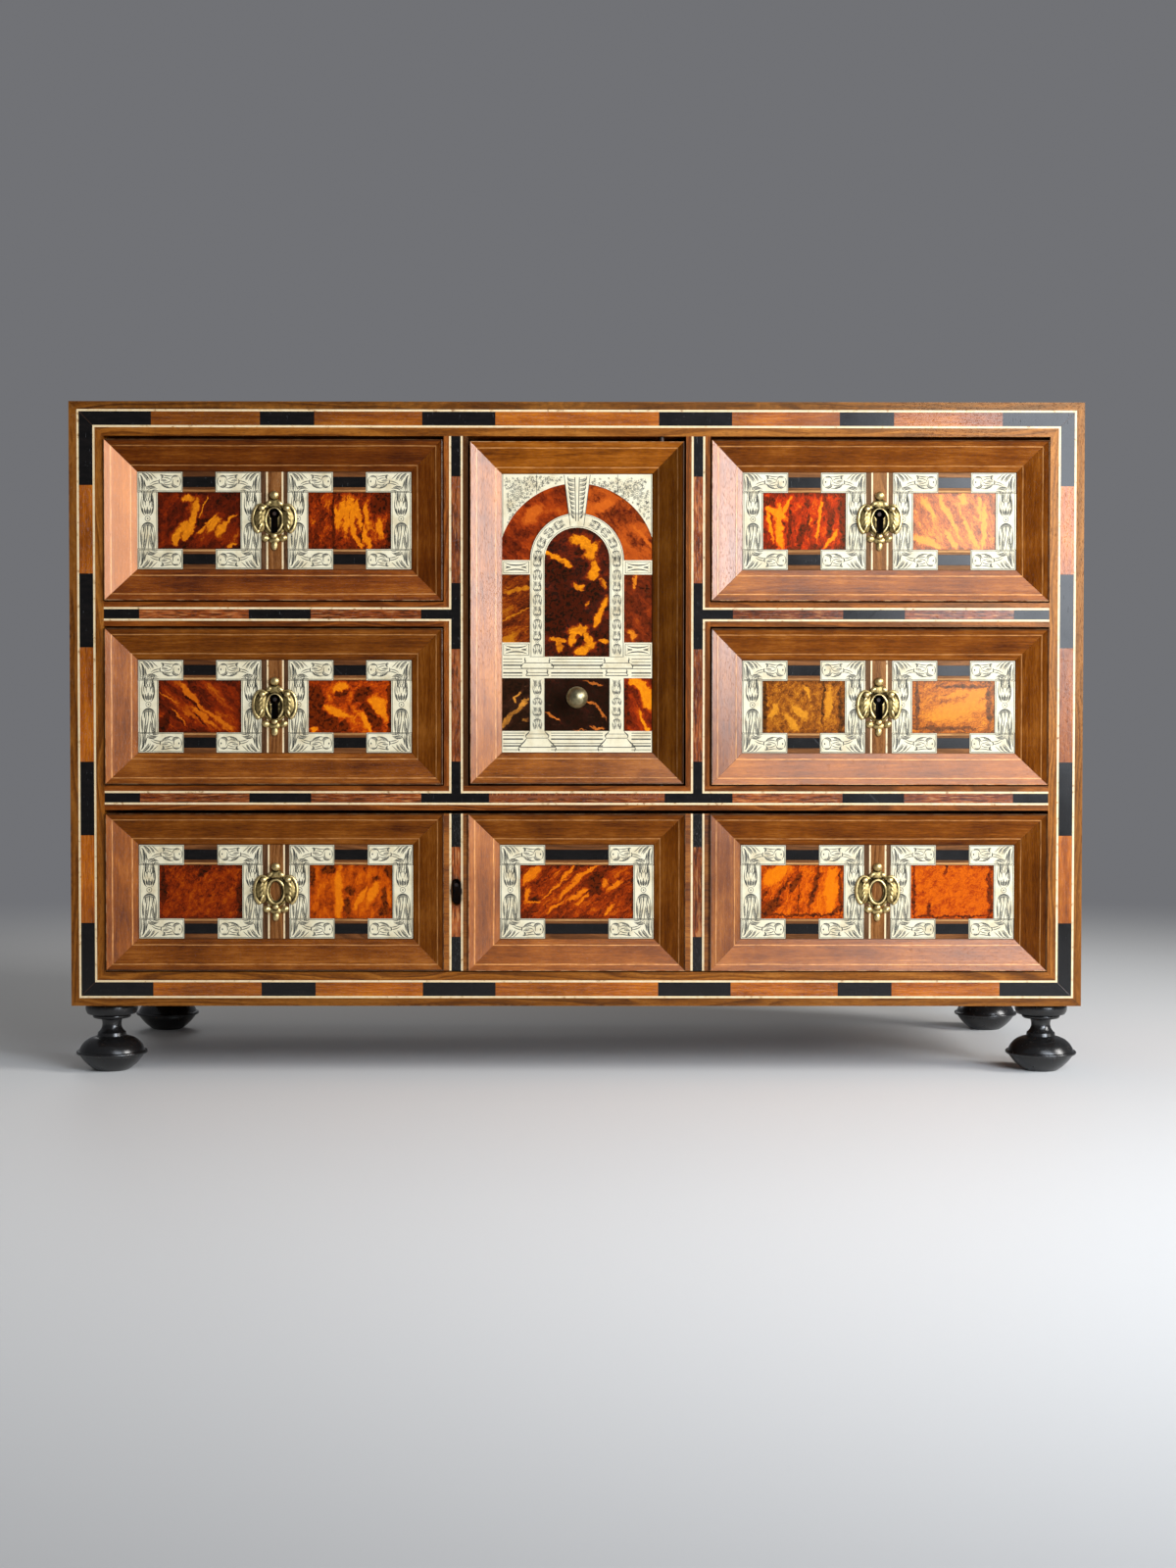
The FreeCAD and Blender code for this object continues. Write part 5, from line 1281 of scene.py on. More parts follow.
def engrave_spandrels(cut):
    """A flower in each upper corner, and scrolls and leaflets scattered round it."""
    steady = random.Random(SEED)
    rosette_z = DOOR_HEAD - 12.0
    for side in (-1, 1):
        x_edge = DOOR_LEFT if side < 0 else DOOR_RIGHT
        rosette_x = x_edge - side * 9.5
        cut.motif(ROSETTE, rosette_x, rosette_z, 0, 0.85)
        for petal in range(9):
            degrees = petal * 40
            angle = math.radians(degrees)
            cut.motif(LEAFLET_NUMBER, rosette_x + 1.7 * math.cos(angle),
                      rosette_z + 1.7 * math.sin(angle), degrees, 1.0, 1.1)
        reach = abs(x_edge) - 1.4
        z = SPRING + 6.0
        while z < DOOR_HEAD - 1.6:
            x = KEYSTONE_TOP / 2 + 1.0
            while x < reach:
                spot_x = x + steady.uniform(-0.8, 0.8)
                spot_z = z + steady.uniform(-0.6, 0.6)
                out = math.hypot(spot_x, spot_z - SPRING + GREAT_ARCH_DROP) - GREAT_ARCH
                aside, above = side * spot_x - rosette_x, spot_z - rosette_z
                within = min(out, reach - spot_x, DOOR_HEAD - 1.4 - spot_z)
                if within > 0.7 and math.hypot(aside, above) > 4.4:
                    around = math.degrees(math.atan2(above, aside))
                    lean = around + steady.uniform(60, 120)
                    number = steady.choice((SCROLL_ON, SCROLL_BACK))
                    if within > 1.7:
                        cut.motif(number, side * spot_x, spot_z, lean, 0.56, 0.62)
                    else:
                        cut.motif(LEAFLET_NUMBER, side * spot_x, spot_z, lean, 0.4, 0.9)
                x += 2.3
            z += 2.2
        seam_x = side * SPANDREL_SEAM[0]
        cut.line((seam_x, DOOR_HEAD - 0.3), (seam_x, SPANDREL_SEAM[1]), 0.2)
        edge = x_edge - side * 0.5
        cut.line((edge, SPRING + SPANDREL_EDGE_RISE), (edge, DOOR_HEAD), 0.18)


def make_engraving(finish):
    group = motif_tree()
    shelf = motif_collection()
    for prefix in DRAWERS:
        body = prefix + "_drawer"
        cut = Engraving()
        for xs, zs in panels_of(body):
            for field in bracket_pairs(xs)[0]:
                engrave_brackets(cut, field, zs)
        cut.piece(prefix + "_engraving", body, group, shelf, finish)
    cut = Engraving()
    engrave_ledge(cut, DOOR_FOOT, PLINTH, (0.12, 0.30, 0.42, 0.62, 0.78, 0.90), (0.30, 0.62), 4)
    engrave_ledge(cut, COLUMN_TOP, CORNICE, (0.10, 0.24, 0.44, 0.60, 0.74, 0.90), (0.24, 0.60))
    for side in (-1, 1):
        engrave_column(cut, side)
        engrave_imposts(cut, side)
    engrave_arch(cut)
    engrave_keystone(cut)
    engrave_spandrels(cut)
    cut.piece("door_engraving", "door", group, shelf, finish)


# Shell plates

AMBER = (0.80, 0.24, 0.005)

# The looks of each panel's plates, from left to right
PLATES = {
    "top_left": (
        dict(dark=(0.055, 0.004, 0.0012), warm=(0.210, 0.016, 0.0008), amber=AMBER, lean=55,
             stretch=2.4, grain=0.13, level=0.30,
             flashes=((-3.6, 3.5, 8.6, 1.7, 76), (-7, -7, 7.0, 2.7, 62), (-14.5, -12, 5.5, 1.7, 76),
                      (-10.5, -3.5, 4.2, 2.0, 40), (4.5, -2.5, 7.5, 0.9, 46),
                      (9.4, -2.5, 4.2, 2.1, 40), (14.6, -4, 4.6, 1.9, 58), (19, 0.8, 5.5, 1.1, 38),
                      (-8, 13.5, 3.2, 1.8, 10), (2.6, 9, 6.5, 0.45, 70), (20.5, -16, 3.6, 1.0, 22)),
             shadows=((1.5, -1.2, 3.0, 2.6, 0), (-10, -14, 1.6, 2.6, 90))),
        dict(dark=(0.080, 0.006, 0.0010), warm=(0.340, 0.030, 0.0010), amber=(0.840, 0.235, 0.0030),
             lean=80, stretch=2.6, grain=0.19, level=0.32, fleck=1.0,
             flashes=((-5.5, 5, 8.0, 1.7, 78), (-2, 4, 10.0, 1.8, 84), (1.5, 7, 8.0, 1.6, 96),
                      (5.0, 6, 7.0, 1.8, 102), (-8.5, 3, 5.0, 1.0, 80), (3.0, -8, 9.5, 1.4, -68),
                      (9.5, -9, 9.0, 1.8, -70), (10.5, 3, 6.0, 1.6, 100), (18.5, -4, 5.0, 2.0, 95)),
             shadows=((-10.3, 0, 19, 0.9, 90), (20, 11, 5.5, 5.0, 20), (7.6, -8, 5.5, 0.6, 84),
                      (24.5, -10, 6.5, 1.4, 90))),
    ),
    "middle_left": (
        dict(dark=(0.065, 0.005, 0.0012), warm=(0.250, 0.020, 0.0010), amber=(0.660, 0.150, 0.0040),
             lean=-42, stretch=4.2, grain=0.16, level=0.34,
             flashes=((-6.5, 8, 7.0, 1.7, -48), (1.5, -1, 8.0, 1.1, -42), (12, -8.5, 7.5, 0.9, -36),
                      (-13, -6.5, 6.0, 0.5, -48), (-21, 6, 6.0, 0.4, -28), (3, -7, 7, 1.2, -44)),
             shadows=((-4.5, 2.5, 4.5, 0.5, -45), (0, -8, 5, 0.5, -48), (-24, -12, 6, 2.5, 60))),
        dict(dark=(0.170, 0.013, 0.0010), warm=(0.490, 0.052, 0.0010), amber=(0.880, 0.250, 0.0030),
             lean=20, stretch=1.3, grain=0.13, level=0.42, fleck=0.9,
             flashes=((18.5, -1, 6.0, 4.0, -60), (-9, -3, 7.0, 2.0, -20), (10, -9, 7.0, 1.6, -70),
                      (-23, -14, 2.0, 1.8, 0), (-6, 12, 4.0, 2.5, 30)),
             shadows=((-21, 4, 8.0, 5.0, 100), (-14, -11, 6.5, 4.0, 10), (-24, -6, 5.0, 3.0, 90),
                      (7.6, 8, 5.0, 3.6, 40), (11.5, -3, 5.5, 3.2, -35), (15.5, -9, 4.5, 2.6, -30),
                      (-4, -12, 3.0, 2.6, 60), (25.5, 0, 18, 1.4, 90), (-4.5, 8.5, 3.0, 1.8, 20))),
    ),
    "long_left": (
        dict(dark=(0.075, 0.006, 0.0010), warm=(0.250, 0.022, 0.0008), amber=(0.460, 0.088, 0.0016),
             lean=55, stretch=1.8, grain=0.34, level=0.41, fleck=0.9,
             shadows=((2.2, 13.5, 4.8, 1.7, 48), (-24, 4, 9, 1.6, 90), (24.5, -4, 9, 1.6, 90))),
        dict(dark=(0.240, 0.024, 0.0010), warm=(0.520, 0.074, 0.0010), amber=(0.800, 0.200, 0.0030),
             lean=86, stretch=2.2, grain=0.20, level=0.40,
             flashes=((-8, -2, 14, 2.0, 90), (6, -4, 6, 1.6, 60), (14, 0, 7, 2.0, 70)),
             shadows=((-1, 1, 3.0, 2.4, 0), (-2.6, -9, 4.6, 2.0, 86), (16.3, 8.2, 2.0, 1.8, 0),
                      (-13.5, 14, 3.5, 2.4, 0), (20.5, -13, 2.8, 2.8, 0), (25, 12, 4, 2.5, -40),
                      (-25, 10, 4.5, 2.0, 90), (21, -4, 6, 1.6, 88))),
    ),
    "long_centre": (
        dict(dark=(0.120, 0.009, 0.0010), warm=(0.360, 0.036, 0.0010), amber=(0.820, 0.200, 0.0030),
             lean=38, stretch=4.0, grain=0.22, level=0.29, fleck=1.0,
             flashes=((-29, 10.5, 6.5, 2.0, 38), (-31.5, -2, 4.5, 1.2, 80), (-28, -7, 4.0, 0.7, 0),
                      (-5.5, 12, 6.5, 1.1, 52), (7.5, 13.5, 8.0, 1.1, 32), (-3, 4, 11, 1.2, 42),
                      (1, -1.5, 6.5, 1.5, 30), (-14, -10, 5.0, 0.9, 42), (4.5, -4, 5.0, 0.7, 42),
                      (-16, 1, 3.5, 0.6, 45), (23.5, 3.8, 4.6, 1.5, 38), (17, 6, 3, 2.4, 90),
                      (20, -11.5, 3.6, 1.3, 58), (-14, 2, 10, 0.5, 40)),
             shadows=((13.0, 7.0, 5.0, 3.6, 38), (11, 0, 3.4, 2.0, 10), (-27, -5, 3.0, 1.6, 20))),
    ),
    "top_right": (
        dict(dark=(0.090, 0.006, 0.0020), warm=(0.560, 0.026, 0.0010), amber=(0.950, 0.290, 0.0030),
             lean=86, stretch=2.8, grain=0.19, level=0.36,
             flashes=((-15.5, -6, 12, 2.0, 92), (-18.5, 5.5, 7.0, 2.0, -30),
                      (-11.5, 9, 5.0, 1.3, 64),
                      (9.5, 2, 10, 1.0, 84), (-22, -2, 8, 1.0, 100), (16, -12, 6, 1.2, 50)),
             shadows=((24.8, -2, 17, 1.9, 90), (-2.5, -9, 5.0, 1.6, 80), (16.5, -2, 6.0, 1.6, 78),
                      (-9.5, -4, 9.0, 0.9, 84), (2.5, -2, 5, 0.7, 84), (-23, 12, 4, 2.0, 30))),
        dict(dark=(0.230, 0.038, 0.0080), warm=(0.520, 0.110, 0.0140), amber=(0.800, 0.320, 0.0180),
             lean=-62, stretch=4.5, grain=0.30, level=0.38, fleck=1.6,
             flashes=((-16, 8, 6.0, 1.6, -60), (-3, 3, 13, 1.4, -62), (11, -9, 10, 1.4, -64),
                      (18.5, -4, 13, 1.6, 86), (5, 14, 4, 2.4, 90), (-17, -13, 8, 2.0, -20),
                      (-2, -12, 6, 1.6, -60), (16, 9, 6, 1.4, 95)),
             shadows=(), gloss=0.4),
    ),
    "middle_right": (
        dict(dark=(0.130, 0.030, 0.0050), warm=(0.320, 0.085, 0.0060), amber=(0.700, 0.270, 0.0160),
             lean=60, stretch=1.5, grain=0.36, level=0.40, fleck=1.2,
             flashes=((-2.5, -3, 5.0, 2.4, -40), (-8, -9, 5.5, 1.8, -55), (-19, -3, 4.5, 2.0, 60),
                      (2.5, 9, 3.6, 1.0, -60), (16, 3, 8.0, 2.2, 86)),
             shadows=((-25, 2, 15, 1.4, 90), (12.5, 4, 13, 0.6, 88), (23.5, -6, 12, 1.2, 90))),
        dict(dark=(0.170, 0.036, 0.0040), warm=(0.420, 0.092, 0.0030), amber=(0.700, 0.235, 0.0080),
             lean=22, stretch=2.6, grain=0.24, level=0.45, fleck=1.7,
             flashes=((2, -2, 15, 5.0, 14), (14, 6, 8, 3.0, 30), (4, 8, 9, 1.4, 10)),
             shadows=((-6, -13.5, 16, 0.9, 0), (22.5, 2, 12, 1.6, 90), (-23, 4, 12, 1.2, 90),
                      (8, 13, 14, 1.0, 0)), gloss=0.25),
    ),
    "long_right": (
        dict(dark=(0.230, 0.018, 0.0008), warm=(0.580, 0.076, 0.0008), amber=(0.800, 0.200, 0.0016),
             lean=66, stretch=3.0, grain=0.18, level=0.46, fleck=1.2,
             flashes=((18, 2, 12, 3.0, 88), (-18, 10, 7, 3.5, 40)),
             shadows=((-4.5, 6, 6.0, 1.5, 62), (7.5, 2, 12, 1.2, 78), (-20.5, -10, 7, 3.6, 40),
                      (-2.6, -6, 9.5, 0.35, 87), (-12, 2, 6, 1.0, 55), (21, -12, 4, 1.4, 50),
                      (0, -14.6, 22, 0.8, 0), (24.3, 0, 14, 0.9, 90))),
        dict(dark=(0.210, 0.016, 0.0008), warm=(0.420, 0.044, 0.0008), amber=(0.660, 0.120, 0.0010),
             lean=20, stretch=1.6, grain=0.26, level=0.62, fleck=1.5,
             shadows=((-14.4, -11, 4.2, 0.9, 88), (24, 0, 16, 1.6, 90), (-4, 14.5, 3, 0.8, 80),
                      (-24.5, 0, 16, 1.0, 90),
                      (0, -15.6, 24, 0.7, 0))),
    ),
}


def plate_copy(name, node, body, finishes, choose):
    """A copy of a CAD plate node, whose faces get their finish by place."""
    work = Work()
    work.mesh.from_mesh(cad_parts[node].data)
    bmesh.ops.scale(work.mesh, vec=(1 / MM,) * 3, verts=work.mesh.verts)
    bmesh.ops.remove_doubles(work.mesh, verts=work.mesh.verts, dist=1e-3)
    bmesh.ops.dissolve_limit(work.mesh, angle_limit=0.002, verts=work.mesh.verts,
                             edges=work.mesh.edges)
    for flat in work.mesh.faces:
        middle = flat.calc_center_bounds()
        flat.material_index = choose(middle.x, middle.z)
        flat.smooth = False
    piece(name, work.done(name), body, finishes, [node])


def drawer_plates(label, panel):
    """The finishes of a panel's plates, and where one gives way to the next."""
    xs, zs = panel
    finishes = []
    for number, (field, look) in enumerate(zip(bracket_pairs(xs)[0], PLATES[label])):
        centre = (middle_of(field), middle_of(zs))
        half = ((field[1] - field[0]) / 2 - BAND, (zs[1] - zs[0]) / 2 - BAND)
        name = "shell_%s_%d" % (label, number + 1)
        finishes.append(tortoiseshell(name, centre, half=half, **look))
    return finishes, middle_of(xs)


def make_plates():
    for prefix in SMALL_DRAWERS:
        body = prefix + "_drawer"
        finishes, middle = drawer_plates(prefix, panels_of(body)[0])
        plate_copy(prefix + "_shell_plates", body + "_shell", body, finishes,
                   lambda x, z: int(x > middle))
    finishes = []
    marks = []
    for label, panel in zip(("long_left", "long_centre", "long_right"), panels_of("long_drawer")):
        more, middle = drawer_plates(label, panel)
        finishes += more
        marks += [middle, panel[0][1] + MOULDING_WIDTH] if len(more) == 2 else [panel[0][1] + 1]
    plate_copy("long_shell_plates", "long_drawer_shell", "long_drawer", finishes,
               lambda x, z: sum(x > mark for mark in marks[:-1]))
    make_door_plates()


def make_door_plates():
    arch = dict(
        dark=(0.020, 0.004, 0.0030), warm=(0.190, 0.016, 0.0020), amber=(0.900, 0.280, 0.0040),
        lean=10,
        stretch=2.0, grain=0.13, level=0.17, fleck=0.28,
        flashes=((1.5, 29.5, 4.8, 3.0, 10), (6.5, 24, 7.5, 4.0, -72), (11, 25, 3.4, 2.4, 60),
                 (10.5, 10, 6.4, 3.0, 84), (16, 2.5, 3.4, 2.0, -60), (1.5, 0, 4.4, 2.0, -20),
                 (-17, 19, 4.0, 1.3, -35), (-10, 16, 7.0, 1.6, -28), (16, -13, 5.0, 1.4, 70),
                 (13, -20, 5.5, 2.4, 70), (1, -27.5, 5.4, 3.0, 10), (-3, -33, 4.4, 2.0, 70),
                 (7.5, -33.5, 5.4, 2.6, -60), (3, -41, 4.9, 2.2, 20), (-12, -33.5, 5.0, 1.6, -5),
                 (-11.5, -38, 3.6, 2.4, 86), (17, -34.5, 3, 1.6, 0), (7, -10, 3, 1.0, 60)),
        shadows=((2.0, 22, 2.6, 1.6, 10), (10.5, -1, 4.6, 3.2, 20), (2.0, -34.5, 2.6, 1.8, 70),
                 (-15, 10, 5, 5, 0), (-8, -14, 10, 4, -20), (0, -8, 8, 4, 0), (-15, -24, 5, 6, 0)))
    crown = dict(dark=(0.100, 0.008, 0.0020), warm=(0.330, 0.036, 0.0030),
                 amber=(0.620, 0.120, 0.0090), lean=-40, stretch=1.8, grain=0.11, level=0.36,
                 fleck=0.6)
    looks = (
        dict(arch, centre=(0.0, 310.0)),
        dict(crown, centre=(-34.0, 348.0), flashes=((6, 8, 6, 3.4, 50),)),
        dict(crown, centre=(34.0, 348.0), warm=(0.430, 0.066, 0.0060),
             flashes=((-18, 13, 5, 3.0, 20), (10, -9, 9, 1.0, -50))),
        dict(centre=(-38.5, 296.0), dark=(0.060, 0.007, 0.0020), warm=(0.230, 0.032, 0.0020),
             amber=(0.540, 0.170, 0.0050), lean=22, stretch=3.0, grain=0.22, level=0.36, fleck=1.0,
             flashes=((1.5, 12, 7, 1.4, 12), (0, -3, 7, 0.7, 25), (-4, -21, 4, 3.4, 60))),
        dict(centre=(38.5, 296.0), dark=(0.085, 0.009, 0.0024), warm=(0.270, 0.030, 0.0036),
             amber=(0.800, 0.235, 0.0100), lean=-50, stretch=2.2, grain=0.12, level=0.22,
             flashes=((-3.4, -16.5, 3.8, 1.9, -60), (-2, 17, 4, 1.4, 80))),
        dict(centre=(-38.5, 235.4), dark=(0.026, 0.009, 0.0050), warm=(0.055, 0.014, 0.0060),
             amber=(0.800, 0.302, 0.0350), lean=40, stretch=2.0, grain=0.14, level=0.02, fleck=0.3,
             flashes=((-5.5, -9.5, 5.5, 2.4, 56), (1.5, -2.5, 6.5, 1.6, 38),
                      (6.5, -10, 2.6, 1.6, 0),
                      (1, 6, 3.0, 0.8, 30), (5, 2.5, 3.2, 1.1, 40), (-1, 3, 2, 0.9, -60))),
        dict(centre=(0.0, 235.4), dark=(0.009, 0.003, 0.0022), warm=(0.040, 0.005, 0.0026),
             amber=(0.720, 0.185, 0.0225), lean=-40, stretch=2.6, grain=0.12, level=0.08,
             fleck=0.35,
             flashes=((-16, -7.5, 5.5, 0.8, -28), (9.5, 0.5, 5.0, 0.9, -24),
                      (15.5, -6, 5.0, 0.8, -58),
                      (12.5, -15, 5.0, 1.1, -6), (10, 13.5, 6.0, 1.0, -14), (2, -16.3, 4, 0.6, 0))),
        dict(centre=(38.5, 235.4), dark=(0.130, 0.008, 0.0020), warm=(0.400, 0.034, 0.0016),
             amber=(0.920, 0.290, 0.0040), lean=-64, stretch=3.2, grain=0.16, level=0.26,
             flashes=((3.5, 9.5, 9.5, 3.2, -52), (-1, 14, 5, 2.0, -10), (6, 3, 6, 2.6, -70),
                      (4, -12, 8, 0.9, -70)),
             shadows=((-8, -4, 12, 2.0, 88),)),
    )
    finishes = [tortoiseshell("shell_door_%d" % number, **look)
                for number, look in enumerate(looks)]

    def choose(x, z):
        side = int(x > 0)
        if z < CORNICE_TOP - CORNICE / 2:
            return 6 if abs(x) < JAMB_IN + 1 else 5 + 2 * side
        if abs(x) < 4.0:
            return 0
        if z > SPRING + 4.0 or z > SPRING - 1 and abs(x) > JAMB_IN + 1:
            return 1 + side
        return 0 if abs(x) < JAMB_IN + 1 else 3 + side

    plate_copy("door_shell_plates", "door_shell", "door", finishes, choose)


# Cast and turned brass

class Cast:
    """Stretched balls that are melted together into one cast."""

    def __init__(self):
        self.points = []
        self.faces = []
        turns, levels = 20, 11
        self.unit = [(0.0, 0.0, 1.0)]
        for level in range(1, levels):
            down = math.pi * level / levels
            for turn in range(turns):
                angle = math.tau * turn / turns
                self.unit.append((math.sin(down) * math.cos(angle),
                                  math.sin(down) * math.sin(angle), math.cos(down)))
        self.unit.append((0.0, 0.0, -1.0))
        last = len(self.unit) - 1
        self.unit_faces = []
        for turn in range(turns):
            after = (turn + 1) % turns
            self.unit_faces.append((0, 1 + turn, 1 + after))
            for level in range(levels - 2):
                row = 1 + level * turns
                self.unit_faces.append((row + turn, row + turns + turn,
                                        row + turns + after, row + after))
            row = last - turns
            self.unit_faces.append((row + turn, last, row + after))

    def ball(self, centre, radii, degrees=0.0):
        """A stretched ball, turned in the plane of the front."""
        cosine = math.cos(math.radians(degrees))
        sine = math.sin(math.radians(degrees))
        first = len(self.points)
        for a, b, c in self.unit:
            x, y, z = a * radii[0], b * radii[1], c * radii[2]
            self.points.append((centre[0] + x * cosine - z * sine, centre[1] + y,
                                centre[2] + x * sine + z * cosine))
        self.faces += [tuple(first + corner for corner in face) for face in self.unit_faces]

    def tube(self, path, start, end, flat=1.0):
        """A round bead along a path, from one radius to another."""
        for number, point in enumerate(path):
            radius = start + (end - start) * number / (len(path) - 1)
            self.ball(point, (radius, radius * flat, radius))

    def melted(self, name, grain, smoothing):
        """The balls as one closed skin, in an object of its own."""
        mesh = bpy.data.meshes.new(name)
        mesh.from_pydata(self.points, [], self.faces)
        made = shown(name, mesh)
        melt = made.modifiers.new("melt", "REMESH")
        melt.mode = "VOXEL"
        melt.voxel_size = grain
        soft = made.modifiers.new("soften", "SMOOTH")
        soft.iterations = smoothing
        return made


def oval_path(centre, across, up, first, last, y, steps=40):
    """Points on a part of an oval, between two angles in degrees."""
    path = []
    for step in range(steps + 1):
        angle = math.radians(first + (last - first) * step / steps)
        path.append((centre[0] + across * math.cos(angle), y,
                     centre[1] + up * math.sin(angle)))
    return path


def escutcheon_cast(pierced):
    """A keyhole plate: oval rim, leafy wings with curled tops, crest, tail and two nails.
    A pierced one has a keyhole, and a blind one an oval window on the strip behind it."""
    cast = Cast()
    cast.ball((0, 0.2, 0), (8.6, 1.9, 10.0))
    cast.tube(oval_path((0, 0.2), 5.3, 7.5, 0, 360, -1.2, 90), 0.85, 0.85, 0.95)
    for side in (-1, 1):
        cast.ball((side * 9.0, 0.2, 1.0), (5.2, 2.7, 8.8), side * 5)
        rim = oval_path((side * 8.3, 1.2), side * 5.1, 8.8, 122, -66, -0.7, 60)
        cast.tube(rim, 0.95, 1.25, 1.1)
        cast.ball((side * 7.9, -1.5, 7.7), (2.1, 1.5, 1.9))
        for x, z, lean in ((9.0, 4.6, -58), (9.2, 1.9, -62), (9.0, -0.9, -66), (8.6, -3.6, -70)):
            cast.ball((side * x, -1.5, z), (2.7, 1.2, 0.95), side * lean)
        cast.ball((side * 5.6, -0.3, -11.0), (2.7, 1.7, 2.3), side * 24)
        cast.ball((side * 6.0, -1.2, -10.9), (1.3, 1.1, 1.3))
        cast.ball((side * 3.4, -0.6, 11.0), (2.4, 1.5, 1.5), side * -34)
    cast.ball((0, 0.0, 10.9), (4.9, 1.9, 3.3))
    cast.ball((0.1, -1.3, 16.0), (2.9, 2.2, 2.8))
    cast.ball((0, -0.3, -12.0), (3.8, 1.7, 2.4))
    cast.ball((0, -1.7, -9.6), (2.1, 1.5, 1.8))
    cast.ball((0, -0.3, -15.6), (2.2, 1.7, 3.2))
    made = shown("escutcheon_blank", flat_behind(settled(cast.melted("escutcheon_cast", 0.33, 2))))
    if pierced:
        shape = keyhole_outline()
    else:
        shape = [(x, z) for x, _, z in oval_path((0, 0.5), 3.7, 6.2, 0, 350, 0, 35)]
    cutter = Work()
    ends = [[(x, y, z) for x, z in shape] for y in (-6.0, 6.0)]
    cutter.face(ends[0])
    cutter.face(ends[1][::-1])
    cutter.band(*ends)
    tool = shown("keyhole_cutter", cutter.done("keyhole_cutter"))
    pierce = made.modifiers.new("pierce", "BOOLEAN")
    pierce.object = tool
    pierce.operation = "DIFFERENCE"
    pierce.solver = "EXACT"
    mesh = settled(made)
    bpy.data.objects.remove(tool)
    return with_relief(mesh)


def keyhole_outline():
    """A round head over a straight stem."""
    points = []
    head, stem, top, foot = 3.5, 2.2, 4.3, -7.8
    start = math.asin(stem / head)
    for step in range(19):
        angle = -math.pi / 2 + start + (math.tau - 2 * start) * step / 18
        points.append((head * math.cos(angle), top + head * math.sin(angle)))
    return points + [(-stem, foot), (stem, foot)]


def flat_behind(mesh):
    """Cuts a cast flat at its back and closes it there."""
    work = bmesh.new()
    work.from_mesh(mesh)
    everything = work.verts[:] + work.edges[:] + work.faces[:]
    cut = bmesh.ops.bisect_plane(work, geom=everything, plane_co=(0, 0.02, 0),
                                 plane_no=(0, 1, 0), clear_outer=True)
    edges = [item for item in cut["geom_cut"] if isinstance(item, bmesh.types.BMEdge)]
    bmesh.ops.holes_fill(work, edges=edges)
    bmesh.ops.recalc_face_normals(work, faces=work.faces)
    result = bpy.data.meshes.new(mesh.name)
    work.to_mesh(result)
    work.free()
    return result


# How many steps away a cast's surroundings reach, how much relief their depth gives, and
# how much duller the oval field round the keyhole is
RELIEF_STEPS = 14
RELIEF_GAIN = 1.9
FIELD_DULLER = 0.12


def with_relief(mesh):
    """Shades a cast smoothly, and notes how high each place stands over what is near."""
    work = bmesh.new()
    work.from_mesh(mesh)
    work.verts.ensure_lookup_table()
    level = [vert.co.y for vert in work.verts]
    mean = level[:]
    links = [[edge.other_vert(vert).index for edge in vert.link_edges] for vert in work.verts]
    for _ in range(RELIEF_STEPS):
        mean = [(mean[i] + sum(mean[j] for j in near)) / (1 + len(near))
                for i, near in enumerate(links)]
    for flat in work.faces:
        flat.smooth = True
    work.to_mesh(mesh)
    work.free()
    relief = mesh.attributes.new("relief", "FLOAT", "POINT")
    for number, (now, around) in enumerate(zip(level, mean)):
        x, _, z = mesh.vertices[number].co
        field = FIELD_DULLER if (x / 4.8) ** 2 + ((z - 0.2) / 7.0) ** 2 < 1.0 else 0.0
        height = 0.45 + (around - now) * RELIEF_GAIN - field
        relief.data[number].value = min(max(height, 0.0), 1.0)
    return mesh


ESCUTCHEON_WIDTH = 27.0


def set_in_place(cast, x, z):
    """A copy of an escutcheon's cast on the panel's front."""
    mesh = cast.copy()
    mesh.transform(Matrix.Translation((x, PANEL_FRONT, z)))
    return mesh


def make_escutcheons(brass):
    pierced, blind = escutcheon_cast(True), escutcheon_cast(False)
    for prefix in SMALL_DRAWERS:
        node = prefix + "_escutcheon"
        xs, _, zs = span(node)
        mesh = set_in_place(pierced, middle_of(xs), middle_of(zs))
        piece(prefix + "_cast_escutcheon", mesh, prefix + "_drawer", [brass], [node])
    xs, _, zs = span("long_drawer_escutcheons")
    work = bmesh.new()
    for x in (xs[0] + ESCUTCHEON_WIDTH / 2, xs[1] - ESCUTCHEON_WIDTH / 2):
        work.from_mesh(set_in_place(blind, x, middle_of(zs)))
    mesh = bpy.data.meshes.new("long_cast_escutcheons")
    work.to_mesh(mesh)
    work.free()
    piece("long_cast_escutcheons", mesh, "long_drawer", [brass],
          ["long_drawer_escutcheons"])


def turned(name, profile, centre, segments=72):
    """A turned mesh from radius and height pairs, with its axis towards the front."""
    work = Work()
    rings = []
    for radius, height in profile:
        ring = []
        for number in range(segments):
            angle = math.tau * number / segments
            spot = (radius * math.cos(angle), -height, radius * math.sin(angle))
            ring.append(tuple(c + s for c, s in zip(centre, spot)))
        rings.append(ring)
    for ring, next_ring in zip(rings, rings[1:]):
        work.band(ring, next_ring, smooth=True)
    return work.done(name)


# The radius, next to nothing, at which the knob's ends close
KNOB_POINT = 0.001
# Radius and height of the knob's collar and neck, from the plaque out
KNOB_NECK = ((KNOB_POINT, -1.3), (4.6, -1.3), (4.7, 0.5), (4.2, 1.0), (3.0, 1.3), (2.5, 2.4),
             (2.6, 4.6))


